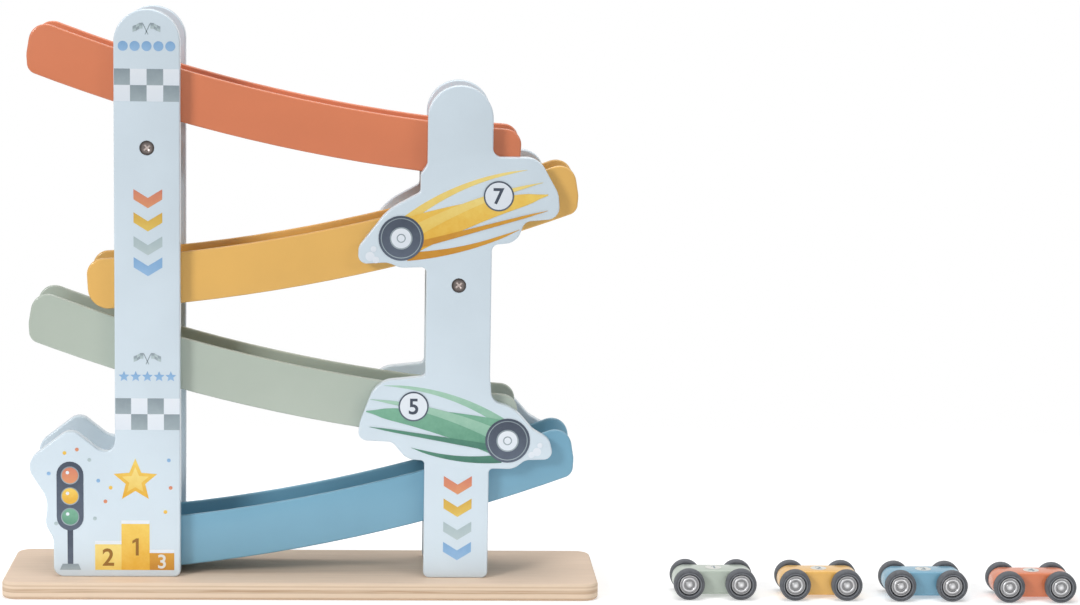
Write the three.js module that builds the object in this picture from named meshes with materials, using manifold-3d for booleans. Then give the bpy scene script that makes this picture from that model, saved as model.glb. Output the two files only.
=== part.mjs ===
// Zig-zag wooden ramp for toy cars: two towers of paired panels on a base board carry four
// curved tracks, and four cars stand in a row beside it. Sizes are in millimetres.
// X runs along the ramp, Y from its front to its back, Z up from the underside of the base.

import * as THREE from 'three';
import { mergeVertices } from 'three/addons/utils/BufferGeometryUtils.js';
import Module from 'manifold-3d';

const wasm = await Module();
wasm.setup();

const DEGREE = Math.PI / 180;

// Fits
const SEAT_GAP = 0.2;
const SCREW_CLEARANCE = 0.2;
const AXLE_PLAY = 0.08;
const TYRE_FIT = 0.15;

// Smoothness of curves
const ARC_STEP = 22.5 * DEGREE;
const SHORTEST_SIDE = 0.2;
const TRACK_STEP = 32;
const ROUND_SIDES = 12;
const EASE_SEGMENTS = 1;

// Base board
const BASE_LENGTH = 340;
const BASE_DEPTH = 86;
const BASE_THICKNESS = 10;
const BASE_CORNER_RADIUS = 9;
const BASE_EASE = 1.2;

// Tracks: the walls' lower edge is an arc that flattens towards the low end
const TRACK_COLOURS = ['blue', 'sage', 'yellow', 'orange'];
const TRACK_WIDTH = 40;
const TRACK_RADIUS = 950;
const LOW_SLOPE = 3.45 * DEGREE;
const LOW_REACH = 121.5;
const HIGH_REACH = 155.1;
const HIGH_BULGE = 4;
const HIGH_BULGE_RISE = 8.6;
const HIGH_OVERHANG = 8.2;
const WALL_THICKNESS = 3;
const WALL_HEIGHT = 29;
const WALL_EASE = 1;
const LOW_FOOT_RADIUS = 10;
const LOW_TOP_RADIUS = 9;
const HIGH_FOOT_RADIUS = 6;
const HIGH_BULGE_RADIUS = 14;
const HIGH_TOP_RADIUS = 10;
const FLOOR_RISE = 2;
const FLOOR_THICKNESS = 4;
const FLOOR_EDGE_RADIUS = 1.2;
const DROP_LENGTH = 28;
const LAST_FLOOR_INSET = 4;
const STOP_THICKNESS = 6;
const STOP_HEIGHT = 14;
const STOP_RADIUS = 2.4;
const LEVEL_GAP = 2.8;

// Towers
const PANEL_THICKNESS = 8;
const PANEL_EASE = 1.2;
const TOWER_WIDTH = 37;
const TOWER_SPACING = 176;
const FOOT_RADIUS = 3.5;
const LEFT_CROWN = 28;
const RIGHT_CROWN = 22.5;
const SPACER_DIAMETER = 16;
const SPACER_DROP = 19.3;

// Sign boards cut in one with the panels. Each corner is its distance out from the edge of the
// tower, its height over the sign's datum and the radius that rounds it.
const PLAIN_FOOT = [
  [0, 0, FOOT_RADIUS],
];
const FINISH_SIGN = [
  [35, 0, 6],
  [35, 22, 9],
  [39.6, 30, 9],
  [38.2, 45, 14],
  [51.5, 66, 9.5],
  [25.2, 86.2, 7.5],
  [0, 66, 7.2],
];
const LOWER_SIGN_INNER = [
  [0, -10.5, 2.5],
  [10, -9.8, 9],
  [18.5, 0.2, 5],
  [38.5, 1.2, 5],
  [37, 11.7, 11],
  [28, 35.2, 14],
  [0, 38.2, 3],
];
const LOWER_SIGN_OUTER = [
  [0, -15, 2.5],
  [14, -15.3, 9],
  [21, -10, 6],
  [37.5, -9.5, 5],
  [34.5, 2.2, 6],
  [25, 7.7, 8],
  [14, 20.2, 20],
  [1.3, 24.2, 6],
  [0, 38.7, 8],
];
const UPPER_SIGN_INNER = [
  [0, -9, 3],
  [15, -9.5, 9],
  [22, -6.5, 9],
  [39, -7.6, 5],
  [38.5, 2.4, 6],
  [22, 23.5, 30],
  [3.8, 33.5, 2.5],
  [3.8, 44, 4],
  [0, 49.5, 5],
];
const UPPER_SIGN_OUTER = [
  [0, 4, 4],
  [14, 5.5, 9],
  [18.5, 17.5, 5],
  [38.5, 19.5, 7],
  [37.5, 33.5, 13],
  [26, 54, 12],
  [0, 54, 5],
];

// Wood screws
const SCREW_HEAD_DIAMETER = 8;
const SCREW_HEAD_RIM = 0.5;
const SCREW_HEAD_DEPTH = 3;
const SCREW_SHANK_DIAMETER = 3.6;
const SCREW_LENGTH = 24;
const SCREW_TIP = 4;
const SCREW_SINK = 0.3;

// Cars: each stands a gap away from the one before, or from the base, and in front of the middle line
const CARS = [
  { colour: 'sage', gap: 43.7, offset: -25 },
  { colour: 'yellow', gap: 13.5, offset: -26.1 },
  { colour: 'blue', gap: 13.3, offset: -27.2 },
  { colour: 'orange', gap: 15.2, offset: -29.3 },
];
const CAR_SIDE_PLAY = 2;
const WHEELBASE = 30;
const TYRE_DIAMETER = 17.8;
const TYRE_WIDTH = 6.5;
const TYRE_SHOULDER = 1.3;
const WHEEL_GAP = 0.6;
const HUB_DIAMETER = 11.4;
const HUB_SET_BACK = 0.9;
const HUB_RIM = 1;
const HUB_DISH = 0.7;
const AXLE_DIAMETER = 2.6;
const AXLE_END_DIAMETER = 3.4;
const BODY_HEIGHT = 14.4;
const BODY_END_INSET = 0.5;
const BODY_END_RADIUS = 7;
const BODY_EASE = 1.2;

// Sizes that follow from those above
const BASE_TOP = BASE_THICKNESS;
const CHANNEL_WIDTH = TRACK_WIDTH - 2 * WALL_THICKNESS;
const PANEL_INNER = TRACK_WIDTH / 2 + SEAT_GAP;
const PANEL_OUTER = PANEL_INNER + PANEL_THICKNESS;
const TOWER_HALF = TOWER_WIDTH / 2;
const TOWER_LINE = TOWER_SPACING / 2;
const ARC_CENTRE = LOW_REACH + TRACK_RADIUS * Math.sin(LOW_SLOPE);
const ARC_RISE = TRACK_RADIUS * Math.cos(LOW_SLOPE);
const LOW_RUN = -TRACK_RADIUS * LOW_SLOPE;
const HIGH_RUN = -TRACK_RADIUS * Math.asin((ARC_CENTRE + HIGH_REACH) / TRACK_RADIUS);
const FLOOR_TOP = FLOOR_RISE + FLOOR_THICKNESS;
const LOW_ROUND_START = LOW_REACH - LOW_FOOT_RADIUS;
const LEVEL_PITCH = arcHeight(-LOW_ROUND_START, WALL_HEIGHT) - arcHeight(LOW_ROUND_START, 0) + LEVEL_GAP;
const CAR_WIDTH = CHANNEL_WIDTH - 2 * CAR_SIDE_PLAY;
const CAR_LENGTH = WHEELBASE + TYRE_DIAMETER;
const BODY_WIDTH = CAR_WIDTH - 2 * (TYRE_WIDTH + WHEEL_GAP);
const AXLE_HEIGHT = TYRE_DIAMETER / 2;

const paint = (color, roughness) => new THREE.MeshStandardMaterial({ color, roughness, metalness: 0 });
const metal = (color, roughness) => new THREE.MeshStandardMaterial({ color, roughness, metalness: 1 });
const MATERIALS = {
  base: paint(0xd9c4a8, 0.6),
  panel: paint(0xd2dce5, 0.5),
  wood: paint(0xd8bb92, 0.65),
  orange: paint(0xd98564, 0.45),
  yellow: paint(0xe4b464, 0.45),
  sage: paint(0xb2bcb1, 0.45),
  blue: paint(0x7ea9bc, 0.45),
  tyre: paint(0x5a5c60, 0.8),
  hub: metal(0xc4c6c8, 0.3),
  screw: metal(0x6c6e72, 0.4),
};

// Height over the walls' lower low corner of a line that runs `rise` above their lower edge,
// at a distance x from the middle of the ramp towards the low end.
function arcHeight(x, rise) {
  const radius = TRACK_RADIUS - rise;
  return ARC_RISE - Math.sqrt(radius * radius - (ARC_CENTRE - x) * (ARC_CENTRE - x));
}

// Height of the walls' lower low corner on a level counted up from the base.
function levelHeight(level) {
  return BASE_TOP + SEAT_GAP + level * LEVEL_PITCH;
}

// Every second track faces the other way, so that its low end lies over the next high end.
function facing(level) {
  return level % 2 === 0 ? -1 : 1;
}

// Where a tower's centre line meets a line `rise` above the lower edge of a track.
function trackAtTower(level, side, rise) {
  return levelHeight(level) + arcHeight(side * facing(level) * TOWER_LINE, rise);
}

// Turns corners [x, y, radius], taken anticlockwise, into points with a true arc at each corner.
function roundedOutline(corners) {
  const points = [];
  corners.forEach(([x, y, radius], index) => {
    const corner = new THREE.Vector2(x, y);
    const before = corners[(index + corners.length - 1) % corners.length];
    const after = corners[(index + 1) % corners.length];
    const arriving = corner.clone().sub(new THREE.Vector2(before[0], before[1])).normalize();
    const leaving = new THREE.Vector2(after[0], after[1]).sub(corner).normalize();
    const turn = Math.atan2(arriving.cross(leaving), arriving.dot(leaving));
    const setBack = radius * Math.tan(Math.abs(turn) / 2);
    const inward = new THREE.Vector2(-arriving.y, arriving.x).multiplyScalar(Math.sign(turn) * radius);
    const start = corner.clone().addScaledVector(arriving, -setBack);
    const centre = start.clone().add(inward);
    const steps = Math.max(1, Math.ceil(Math.abs(turn) / ARC_STEP));
    for (let step = 0; step <= steps; step += 1) {
      points.push(start.clone().rotateAround(centre, turn * step / steps));
    }
  });
  return points.filter((point, index) => point.distanceTo(points.at(index - 1)) > SHORTEST_SIDE);
}

// Adds points to the long sides of an outline, so that it can follow the arc of a track.
function subdivided(points) {
  return points.flatMap((point, index) => {
    const next = points[(index + 1) % points.length];
    const count = Math.max(1, Math.round(point.distanceTo(next) / TRACK_STEP));
    return Array.from({ length: count }, (unused, step) => point.clone().lerp(next, step / count));
  });
}

// Bends an outline drawn as [run along the track, height over the lower edge] onto the arc.
function bent(points) {
  return points.map(({ x: run, y: rise }) => {
    const angle = run / TRACK_RADIUS;
    const radius = TRACK_RADIUS - rise;
    return new THREE.Vector2(ARC_CENTRE + radius * Math.sin(angle), ARC_RISE - radius * Math.cos(angle));
  });
}

// A flat piece of a given thickness with eased edges, centred on the plane of its outline.
function flatPiece(points, thickness, ease) {
  const geometry = new THREE.ExtrudeGeometry(new THREE.Shape(points), {
    depth: thickness - 2 * ease,
    bevelEnabled: ease > 0,
    bevelThickness: ease,
    bevelSize: ease,
    bevelOffset: -ease,
    bevelSegments: EASE_SEGMENTS,
  });
  return geometry.translate(0, 0, ease - thickness / 2);
}

// The same piece stood up, with the second coordinate of its outline pointing up.
function standingPiece(points, thickness, ease) {
  return flatPiece(points, thickness, ease).rotateX(Math.PI / 2);
}

// A turned piece on the Y axis from points [radius, distance along the axis].
function turned(profile) {
  const points = profile.map(([radius, along]) => new THREE.Vector2(radius, along));
  return new THREE.LatheGeometry(points, ROUND_SIDES);
}

// A round bar on the Y axis, centred on the origin.
function cylinder(radius, length) {
  return new THREE.CylinderGeometry(radius, radius, length, ROUND_SIDES);
}

// Radius of a polygon of ROUND_SIDES sides whose flats lie at the given radius.
function overFlats(radius) {
  return radius / Math.cos(Math.PI / ROUND_SIDES);
}

// A closed solid from a geometry.
function solid(geometry) {
  const bare = geometry.clone();
  bare.deleteAttribute('normal');
  bare.deleteAttribute('uv');
  const merged = mergeVertices(bare, 1e-3);
  const faces = [];
  for (let index = 0; index < merged.index.count; index += 3) {
    const [a, b, c] = merged.index.array.subarray(index, index + 3);
    if (a !== b && b !== c && c !== a) {
      faces.push(a, b, c);
    }
  }
  return new wasm.Manifold(new wasm.Mesh({
    numProp: 3,
    vertProperties: merged.attributes.position.array,
    triVerts: new Uint32Array(faces),
  }));
}

// A geometry with holes cut into it.
function drilled(geometry, cutters) {
  const cut = cutters.reduce((rest, cutter) => rest.subtract(solid(cutter)), solid(geometry)).getMesh();
  const result = new THREE.BufferGeometry();
  result.setAttribute('position', new THREE.BufferAttribute(cut.vertProperties, 3));
  result.setIndex(new THREE.BufferAttribute(cut.triVerts, 1));
  const faceted = result.toNonIndexed();
  faceted.computeVertexNormals();
  return faceted;
}

// Countersunk screw on the Y axis, head at the origin and tip at positive Y.
function screwGeometry() {
  const head = SCREW_HEAD_DIAMETER / 2;
  const shank = SCREW_SHANK_DIAMETER / 2;
  return turned([
    [0, 0],
    [head, 0],
    [head, SCREW_HEAD_RIM],
    [shank, SCREW_HEAD_DEPTH],
    [shank, SCREW_LENGTH - SCREW_TIP],
    [0, SCREW_LENGTH],
  ]);
}

// Hole that takes the screw with its head sunk below the surface.
function screwHole() {
  const head = overFlats(SCREW_HEAD_DIAMETER / 2 + SCREW_CLEARANCE);
  const shank = overFlats(SCREW_SHANK_DIAMETER / 2 + SCREW_CLEARANCE);
  return turned([
    [0, -SCREW_HEAD_DEPTH],
    [head, -SCREW_HEAD_DEPTH],
    [head, SCREW_HEAD_RIM + SCREW_CLEARANCE],
    [shank, SCREW_HEAD_DEPTH + SCREW_CLEARANCE],
    [shank, SCREW_LENGTH - SCREW_TIP + SCREW_CLEARANCE],
    [0, SCREW_LENGTH + SCREW_CLEARANCE],
  ]);
}

function placed(name, geometry, material, position = [0, 0, 0], rotation = [0, 0, 0]) {
  const mesh = new THREE.Mesh(geometry, material);
  mesh.name = name;
  mesh.position.set(...position);
  mesh.rotation.set(...rotation);
  return mesh;
}

// Corners of one side of a tower, from the foot up; `out` is +1 for its right side, -1 for its left.
function sideCorners(tower, out) {
  const edge = tower.side * TOWER_LINE + out * TOWER_HALF;
  const boards = out > 0 ? tower.rightBoards : tower.leftBoards;
  return boards.flatMap(({ datum, corners }) => (
    corners.map(([distance, height, radius]) => [edge + out * distance, datum + height, radius])
  ));
}

function panelOutline(tower) {
  const line = tower.side * TOWER_LINE;
  return roundedOutline([
    ...sideCorners(tower, 1),
    [line + TOWER_HALF, tower.top, TOWER_HALF],
    [line - TOWER_HALF, tower.top, TOWER_HALF],
    ...sideCorners(tower, -1).reverse(),
  ]);
}

const topLevel = TRACK_COLOURS.length - 1;
const lowerSignDatum = trackAtTower(topLevel - 2, 1, 0);
const upperSignDatum = trackAtTower(topLevel - 1, 1, 0);
const TOWERS = [
  {
    name: 'left',
    side: -1,
    top: trackAtTower(topLevel, -1, WALL_HEIGHT) + LEFT_CROWN,
    spacerHeight: trackAtTower(topLevel, -1, 0) - SPACER_DROP,
    leftBoards: [{ datum: BASE_TOP, corners: FINISH_SIGN }],
    rightBoards: [{ datum: BASE_TOP, corners: PLAIN_FOOT }],
  },
  {
    name: 'right',
    side: 1,
    top: trackAtTower(topLevel, 1, WALL_HEIGHT) + RIGHT_CROWN,
    spacerHeight: upperSignDatum - SPACER_DROP,
    leftBoards: [
      { datum: BASE_TOP, corners: PLAIN_FOOT },
      { datum: lowerSignDatum, corners: LOWER_SIGN_INNER },
      { datum: upperSignDatum, corners: UPPER_SIGN_INNER },
    ],
    rightBoards: [
      { datum: BASE_TOP, corners: PLAIN_FOOT },
      { datum: lowerSignDatum, corners: LOWER_SIGN_OUTER },
      { datum: upperSignDatum, corners: UPPER_SIGN_OUTER },
    ],
  },
];

// The front and back of a tower: the side of the ramp it is on and the turn of a screw driven there.
const FACES = [
  { name: 'front', side: -1, turn: 0 },
  { name: 'back', side: 1, turn: Math.PI },
];

const ramp = new THREE.Group();
ramp.name = 'toy_car_ramp';

const baseCutters = [];
TOWERS.forEach((tower) => {
  const outline = panelOutline(tower);
  const line = tower.side * TOWER_LINE;
  const screwFace = PANEL_OUTER - SCREW_SINK;
  const spacerCutters = [];

  FACES.forEach(({ name, side, turn }) => {
    const middle = side * (PANEL_INNER + PANEL_THICKNESS / 2);
    const sideHole = screwHole().rotateZ(turn).translate(line, side * screwFace, tower.spacerHeight);
    const footHole = screwHole().rotateX(Math.PI / 2).translate(line, middle, SCREW_SINK);
    const board = standingPiece(outline, PANEL_THICKNESS, PANEL_EASE).translate(0, middle, 0);
    const panelName = `${tower.name}_tower_${name}_panel`;
    ramp.add(placed(panelName, drilled(board, [sideHole, footHole]), MATERIALS.panel));
    ramp.add(placed(
      `${tower.name}_tower_${name}_screw`,
      screwGeometry(),
      MATERIALS.screw,
      [line, side * screwFace, tower.spacerHeight],
      [0, 0, turn],
    ));
    ramp.add(placed(
      `${tower.name}_tower_${name}_foot_screw`,
      screwGeometry(),
      MATERIALS.screw,
      [line, middle, SCREW_SINK],
      [Math.PI / 2, 0, 0],
    ));
    spacerCutters.push(sideHole);
    baseCutters.push(footHole);
  });

  const spacer = cylinder(SPACER_DIAMETER / 2, TRACK_WIDTH).translate(line, 0, tower.spacerHeight);
  ramp.add(placed(`${tower.name}_tower_spacer`, drilled(spacer, spacerCutters), MATERIALS.wood));
});

const baseOutline = roundedOutline([
  [-BASE_LENGTH / 2, -BASE_DEPTH / 2, BASE_CORNER_RADIUS],
  [BASE_LENGTH / 2, -BASE_DEPTH / 2, BASE_CORNER_RADIUS],
  [BASE_LENGTH / 2, BASE_DEPTH / 2, BASE_CORNER_RADIUS],
  [-BASE_LENGTH / 2, BASE_DEPTH / 2, BASE_CORNER_RADIUS],
]);
const baseBoard = flatPiece(baseOutline, BASE_THICKNESS, BASE_EASE).translate(0, 0, BASE_THICKNESS / 2);
ramp.add(placed('base_board', drilled(baseBoard, baseCutters), MATERIALS.base));

const wallOutline = bent(subdivided(roundedOutline([
  [HIGH_RUN, 0, HIGH_FOOT_RADIUS],
  [LOW_RUN, 0, LOW_FOOT_RADIUS],
  [LOW_RUN, WALL_HEIGHT, LOW_TOP_RADIUS],
  [HIGH_RUN - HIGH_OVERHANG, WALL_HEIGHT, HIGH_TOP_RADIUS],
  [HIGH_RUN - HIGH_BULGE, HIGH_BULGE_RISE, HIGH_BULGE_RADIUS],
])));
const innerWidth = CHANNEL_WIDTH - 2 * SEAT_GAP;
const floorStart = HIGH_RUN + HIGH_FOOT_RADIUS;
const stopFoot = FLOOR_TOP + SEAT_GAP;
const stopOutline = bent(roundedOutline([
  [floorStart, stopFoot, 0],
  [floorStart + STOP_THICKNESS, stopFoot, 0],
  [floorStart + STOP_THICKNESS, stopFoot + STOP_HEIGHT, STOP_RADIUS],
  [floorStart, stopFoot + STOP_HEIGHT, STOP_RADIUS],
]));

TRACK_COLOURS.forEach((colour, level) => {
  // The last floor runs on to the exit; the others stop short, so that a car drops to the next track.
  const floorEnd = LOW_RUN - (level === 0 ? LAST_FLOOR_INSET : DROP_LENGTH);
  const floorOutline = bent(subdivided(roundedOutline([
    [floorStart, FLOOR_RISE, FLOOR_EDGE_RADIUS],
    [floorEnd, FLOOR_RISE, FLOOR_EDGE_RADIUS],
    [floorEnd, FLOOR_TOP, FLOOR_EDGE_RADIUS],
    [floorStart, FLOOR_TOP, FLOOR_EDGE_RADIUS],
  ])));
  const track = new THREE.Group();
  track.name = `${colour}_track`;
  track.position.z = levelHeight(level);
  track.rotation.z = facing(level) < 0 ? Math.PI : 0;

  FACES.forEach(({ name, side }) => {
    const wall = standingPiece(wallOutline, WALL_THICKNESS, WALL_EASE);
    const middle = side * facing(level) * (TRACK_WIDTH - WALL_THICKNESS) / 2;
    track.add(placed(`${colour}_track_${name}_wall`, wall, MATERIALS[colour], [0, middle, 0]));
  });
  track.add(placed(`${colour}_track_floor`, standingPiece(floorOutline, innerWidth, 0), MATERIALS[colour]));
  track.add(placed(`${colour}_track_stop`, standingPiece(stopOutline, innerWidth, 0), MATERIALS[colour]));
  ramp.add(track);
});

// Axle with a hub on each end: a rim, a dished face and a domed end of the axle.
const hubFace = CAR_WIDTH / 2 - HUB_SET_BACK;
const hubBack = CAR_WIDTH / 2 - TYRE_WIDTH + HUB_SET_BACK;
const hubHalf = [
  [AXLE_DIAMETER / 2, hubBack],
  [HUB_DIAMETER / 2, hubBack],
  [HUB_DIAMETER / 2, hubFace],
  [HUB_DIAMETER / 2 - HUB_RIM, hubFace],
  [HUB_DIAMETER / 2 - 2 * HUB_RIM, hubFace - HUB_DISH],
  [AXLE_END_DIAMETER / 2, hubFace - HUB_DISH],
  [0, hubFace],
];
const axleGeometry = turned([
  ...hubHalf.map(([radius, along]) => [radius, -along]).reverse(),
  ...hubHalf,
]);

const tyreInner = HUB_DIAMETER / 2 + TYRE_FIT;
const tyreGeometry = turned([
  [tyreInner, -TYRE_WIDTH / 2],
  [TYRE_DIAMETER / 2 - TYRE_SHOULDER, -TYRE_WIDTH / 2],
  [TYRE_DIAMETER / 2, TYRE_SHOULDER - TYRE_WIDTH / 2],
  [TYRE_DIAMETER / 2, TYRE_WIDTH / 2 - TYRE_SHOULDER],
  [TYRE_DIAMETER / 2 - TYRE_SHOULDER, TYRE_WIDTH / 2],
  [tyreInner, TYRE_WIDTH / 2],
  [tyreInner, -TYRE_WIDTH / 2],
]);

const bodyHalfLength = CAR_LENGTH / 2 - BODY_END_INSET;
const bodyOutline = roundedOutline([
  [-bodyHalfLength, -BODY_HEIGHT / 2, BODY_END_RADIUS],
  [bodyHalfLength, -BODY_HEIGHT / 2, BODY_END_RADIUS],
  [bodyHalfLength, BODY_HEIGHT / 2, BODY_END_RADIUS],
  [-bodyHalfLength, BODY_HEIGHT / 2, BODY_END_RADIUS],
]);
const boreRadius = overFlats(AXLE_DIAMETER / 2 + AXLE_PLAY);
const AXLES = [
  { name: 'left', along: -WHEELBASE / 2 },
  { name: 'right', along: WHEELBASE / 2 },
];
const bores = AXLES.map(({ along }) => (
  cylinder(boreRadius, CAR_WIDTH).translate(along, 0, 0)
));
const bodyGeometry = drilled(standingPiece(bodyOutline, BODY_WIDTH, BODY_EASE), bores);

let rowEnd = BASE_LENGTH / 2;
CARS.forEach(({ colour, gap, offset }) => {
  const car = new THREE.Group();
  car.name = `${colour}_car`;
  car.position.set(rowEnd + gap + CAR_LENGTH / 2, offset, AXLE_HEIGHT);
  rowEnd += gap + CAR_LENGTH;
  car.add(placed(`${colour}_car_body`, bodyGeometry, MATERIALS[colour]));
  AXLES.forEach((axle) => {
    const axleName = `${colour}_car_${axle.name}_axle`;
    car.add(placed(axleName, axleGeometry, MATERIALS.hub, [axle.along, 0, 0]));
    FACES.forEach(({ name, side }) => {
      const tyreLine = side * (CAR_WIDTH - TYRE_WIDTH) / 2;
      const tyreName = `${colour}_car_${axle.name}_${name}_tyre`;
      car.add(placed(tyreName, tyreGeometry, MATERIALS.tyre, [axle.along, tyreLine, 0]));
    });
  });
  ramp.add(car);
});

export default ramp;
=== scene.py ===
"""Looks of a wooden zig-zag ramp for toy cars: painted towers and tracks on a plywood base,
four small cars beside it, and the stage of the photograph. Lengths are in metres."""

import math

import bmesh
import bpy
from bpy.props import FloatProperty, FloatVectorProperty, IntProperty, PointerProperty
from mathutils import Matrix, Vector


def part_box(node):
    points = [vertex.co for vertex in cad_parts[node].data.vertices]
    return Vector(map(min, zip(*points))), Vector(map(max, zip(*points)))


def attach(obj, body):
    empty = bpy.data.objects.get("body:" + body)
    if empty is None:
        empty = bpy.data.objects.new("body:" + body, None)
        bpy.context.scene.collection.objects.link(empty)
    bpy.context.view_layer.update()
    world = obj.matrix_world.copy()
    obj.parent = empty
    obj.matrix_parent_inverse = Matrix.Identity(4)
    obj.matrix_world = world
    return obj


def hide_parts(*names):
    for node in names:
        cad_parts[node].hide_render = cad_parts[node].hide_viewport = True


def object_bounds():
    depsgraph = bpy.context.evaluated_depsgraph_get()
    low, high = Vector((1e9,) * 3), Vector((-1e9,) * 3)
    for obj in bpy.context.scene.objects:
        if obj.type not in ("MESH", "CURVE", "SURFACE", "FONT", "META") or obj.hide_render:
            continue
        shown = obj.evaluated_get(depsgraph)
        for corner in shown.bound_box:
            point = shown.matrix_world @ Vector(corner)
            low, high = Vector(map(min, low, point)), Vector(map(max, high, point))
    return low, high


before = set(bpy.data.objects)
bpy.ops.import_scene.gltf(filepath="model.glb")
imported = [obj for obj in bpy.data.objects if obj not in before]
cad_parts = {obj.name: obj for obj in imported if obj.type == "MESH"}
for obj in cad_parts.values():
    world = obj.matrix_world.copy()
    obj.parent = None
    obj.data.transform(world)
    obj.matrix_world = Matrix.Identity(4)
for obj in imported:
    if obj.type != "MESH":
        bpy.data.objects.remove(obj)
CAD_LOW, CAD_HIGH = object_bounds()

bl_info = {
    "name": "Zig-zag car ramp",
    "version": (1, 0, 0),
    "blender": (4, 5, 0),
    "location": "View3D > Sidebar > Ramp",
    "description": "Builds a wooden zig-zag ramp for toy cars, its prints and its cars",
    "category": "Add Mesh",
}

MM = 0.001
Y_AXIS = Vector((0, 1, 0))
Z_AXIS = Vector((0, 0, 1))
RAMP_BODY = "ramp"

# Tracks from the bottom up, and cars from left to right
TRACK_COLOURS = ("blue", "sage", "yellow", "orange")
CAR_COLOURS = ("sage", "yellow", "blue", "orange")
FACES = (("front", -1), ("back", 1))
TOWER_NAMES = ("left", "right")
CAR_ENDS = ("left", "right")

# Cosines past which a face looks along an axis, distances at which points count as one, and how far
# an edge may lie off the place where it is looked for
FLAT, LEVEL = 0.999, 0.9999
MERGE, NEAR = 1e-7, 2e-6
EDGE_MISS = 0.2 * MM

# Steps of an eased edge, fewest steps of a rounded corner and the angle of one, steps of a half round,
# the bend that still counts as straight and the one past which an edge is shaded sharp
EASE_STEPS = 4
CORNER_STEPS, CORNER_STEP = 3, math.radians(5)
ARC_STEPS, LIP_STEPS = 8, 6
STRAIGHT, SHARP = math.radians(0.05), math.radians(40)

# Room kept between the rounding of a corner and the next section of a track, and flat left on a crown
SECTION_ROOM = 1 * MM
CROWN_FLAT = 0.02 * MM

# Corners of the sign boards in millimetres: distance out from the edge of the tower, height over
# the board's datum, radius of the corner
PLAIN_FOOT = ((0, 0, 3.5),)
FINISH_BOARD = (
    (35, 0, 6), (35, 22, 9), (39.6, 30, 9), (38.2, 45, 14),
    (51.5, 66, 9.5), (25.2, 86.2, 7.5), (0, 66, 7.2),
)
LOWER_BOARD_INNER = (
    (0, -10.5, 2.5), (10, -9.8, 9), (18.5, 0.2, 5), (38.5, 1.2, 5),
    (37, 11.7, 11), (28, 35.2, 14), (0, 38.2, 3),
)
LOWER_BOARD_OUTER = (
    (0, -15, 2.5), (14, -15.3, 9), (21, -10, 6), (37.5, -9.5, 5), (34.5, 2.2, 6),
    (25, 7.7, 8), (14, 20.2, 20), (1.3, 24.2, 6), (0, 38.7, 8),
)
UPPER_BOARD_INNER = (
    (0, -9, 3), (15, -9.5, 9), (22, -6.5, 9), (39, -7.6, 5), (38.5, 2.4, 6),
    (22, 23.5, 30), (3.8, 33.5, 2.5), (3.8, 44, 4), (0, 49.5, 5),
)
UPPER_BOARD_OUTER = (
    (0, 4, 4), (14, 5.5, 9), (18.5, 17.5, 5), (38.5, 19.5, 7),
    (37.5, 33.5, 13), (26, 54, 12), (0, 54, 5),
)

# Inks of a row of chevrons, and how far each lies under the first, in millimetres
CHEVRONS = (("ink_orange", 0), ("ink_yellow", 13.15), ("ink_grey", 26.7), ("ink_blue", 38.6))
# How far a chequer band stops short of a panel's edge, as a share of the edge's rounding
CHEQUER_INSET = 0.4

PAINTS = ("panel", "orange", "yellow", "sage", "blue")

# Hub, as shares of its radius: middle, radius and foot of the bead, and outer end of the dished ring
HUB_BEAD, HUB_SWELL, HUB_FOOT, HUB_RING = 0.66, 0.11, 0.1265, 0.86
# Rim of a hub: distance in from its radius and back from its end, in millimetres, and painted light,
# highest as a painted highlight on its edge
HUB_RIM = ((0, 0.35, 0.2), (0.1, 0.1, 0.4), (0.3, 0, 0.4), (0.6, 0.1, 0.2))
# Painted shade on a hub's dished ring and painted highlight on its bead
RING_SHADE, BEAD_HIGHLIGHT = 0.05, 0.62
# Domed end of an axle: gap round its foot as a share of its radius, steps that stay in painted shade,
# and how light that shade is
DOME_GAP, DOME_SHADED_STEPS, DOME_SHADE = 1.08, 3, 0.1
# Gap beside a tyre's bore: distance out from the bore and depth behind the tyre's side, in millimetres
TYRE_GAP = ((0, 2.2), (0.35, 2), (0.4, 0.35))
# Painted highlight on the shoulders of a tyre
SHOULDER_HIGHLIGHT = 0.4
# Screw: straight edge of the head as a share of its depth, taper of the cross and of the tip, and
# painted highlight round the cross and on its floor
SCREW_EDGE, CROSS_TAPER, TIP_TAPER = 0.15, 0.7, 0.05
CROSS_HIGHLIGHT, CROSS_FLOOR_HIGHLIGHT = 0.3, 1.0

# Outline of a number one of height 1
NUMBER_ONE = (
    (-0.03, -0.5), (0.14, -0.5), (0.14, 0.5), (0.0, 0.5), (-0.22, 0.36), (-0.22, 0.19), (-0.03, 0.3),
)
# Size and boldness of Blender's typeface for numbers of height 1
TYPE_SIZE, TYPE_BOLD = 1.4, 0.025

# Layers of print, in thicknesses of film: gap under the first, and step from one to the next
LAYER_GAP, LAYER_STEP = 0.4, 1.2

# Crossed flags in millimetres from their middle: foot and head of a pole, its width, size of a flag
POLE_FOOT, POLE_HEAD, POLE_WIDTH = (-0.8, -3.6), (2.2, 2.9), 0.5
FLAG_WIDE, FLAG_TALL, FLAG_COLUMNS, FLAG_ROWS = 5.5, 3.2, 3, 2
# A flag's wave as a share of its height, half waves along it, and its sag as a share of its width
FLAG_WAVE, FLAG_BENDS, FLAG_SAG = 0.14, 1.7, -0.3

# Print on the low board, in millimetres from the left tower's line and from the table
# Winners' stand: foot, height of its white edge, greatest height of a number and the room round it
STAND_FOOT, STAND_EDGE, STAND_NUMBER, STAND_ROOM = 14, 2, 10, 4
# Its blocks: left, right, top, ink, number and the number's ink
STAND_BLOCKS = (
    (-30, -15, 31, "ink_lemon", "2", "ink_brown"), (-15, 1, 43, "ink_gold", "1", "ink_brown"),
    (1, 15, 26, "ink_ochre", "3", "ink_cream"),
)
# Star: place, and inks with their radii
STAR_PLACE, STAR_INKS = (-7, 66), (("ink_gold", 13), ("ink_lemon", 8))
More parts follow.
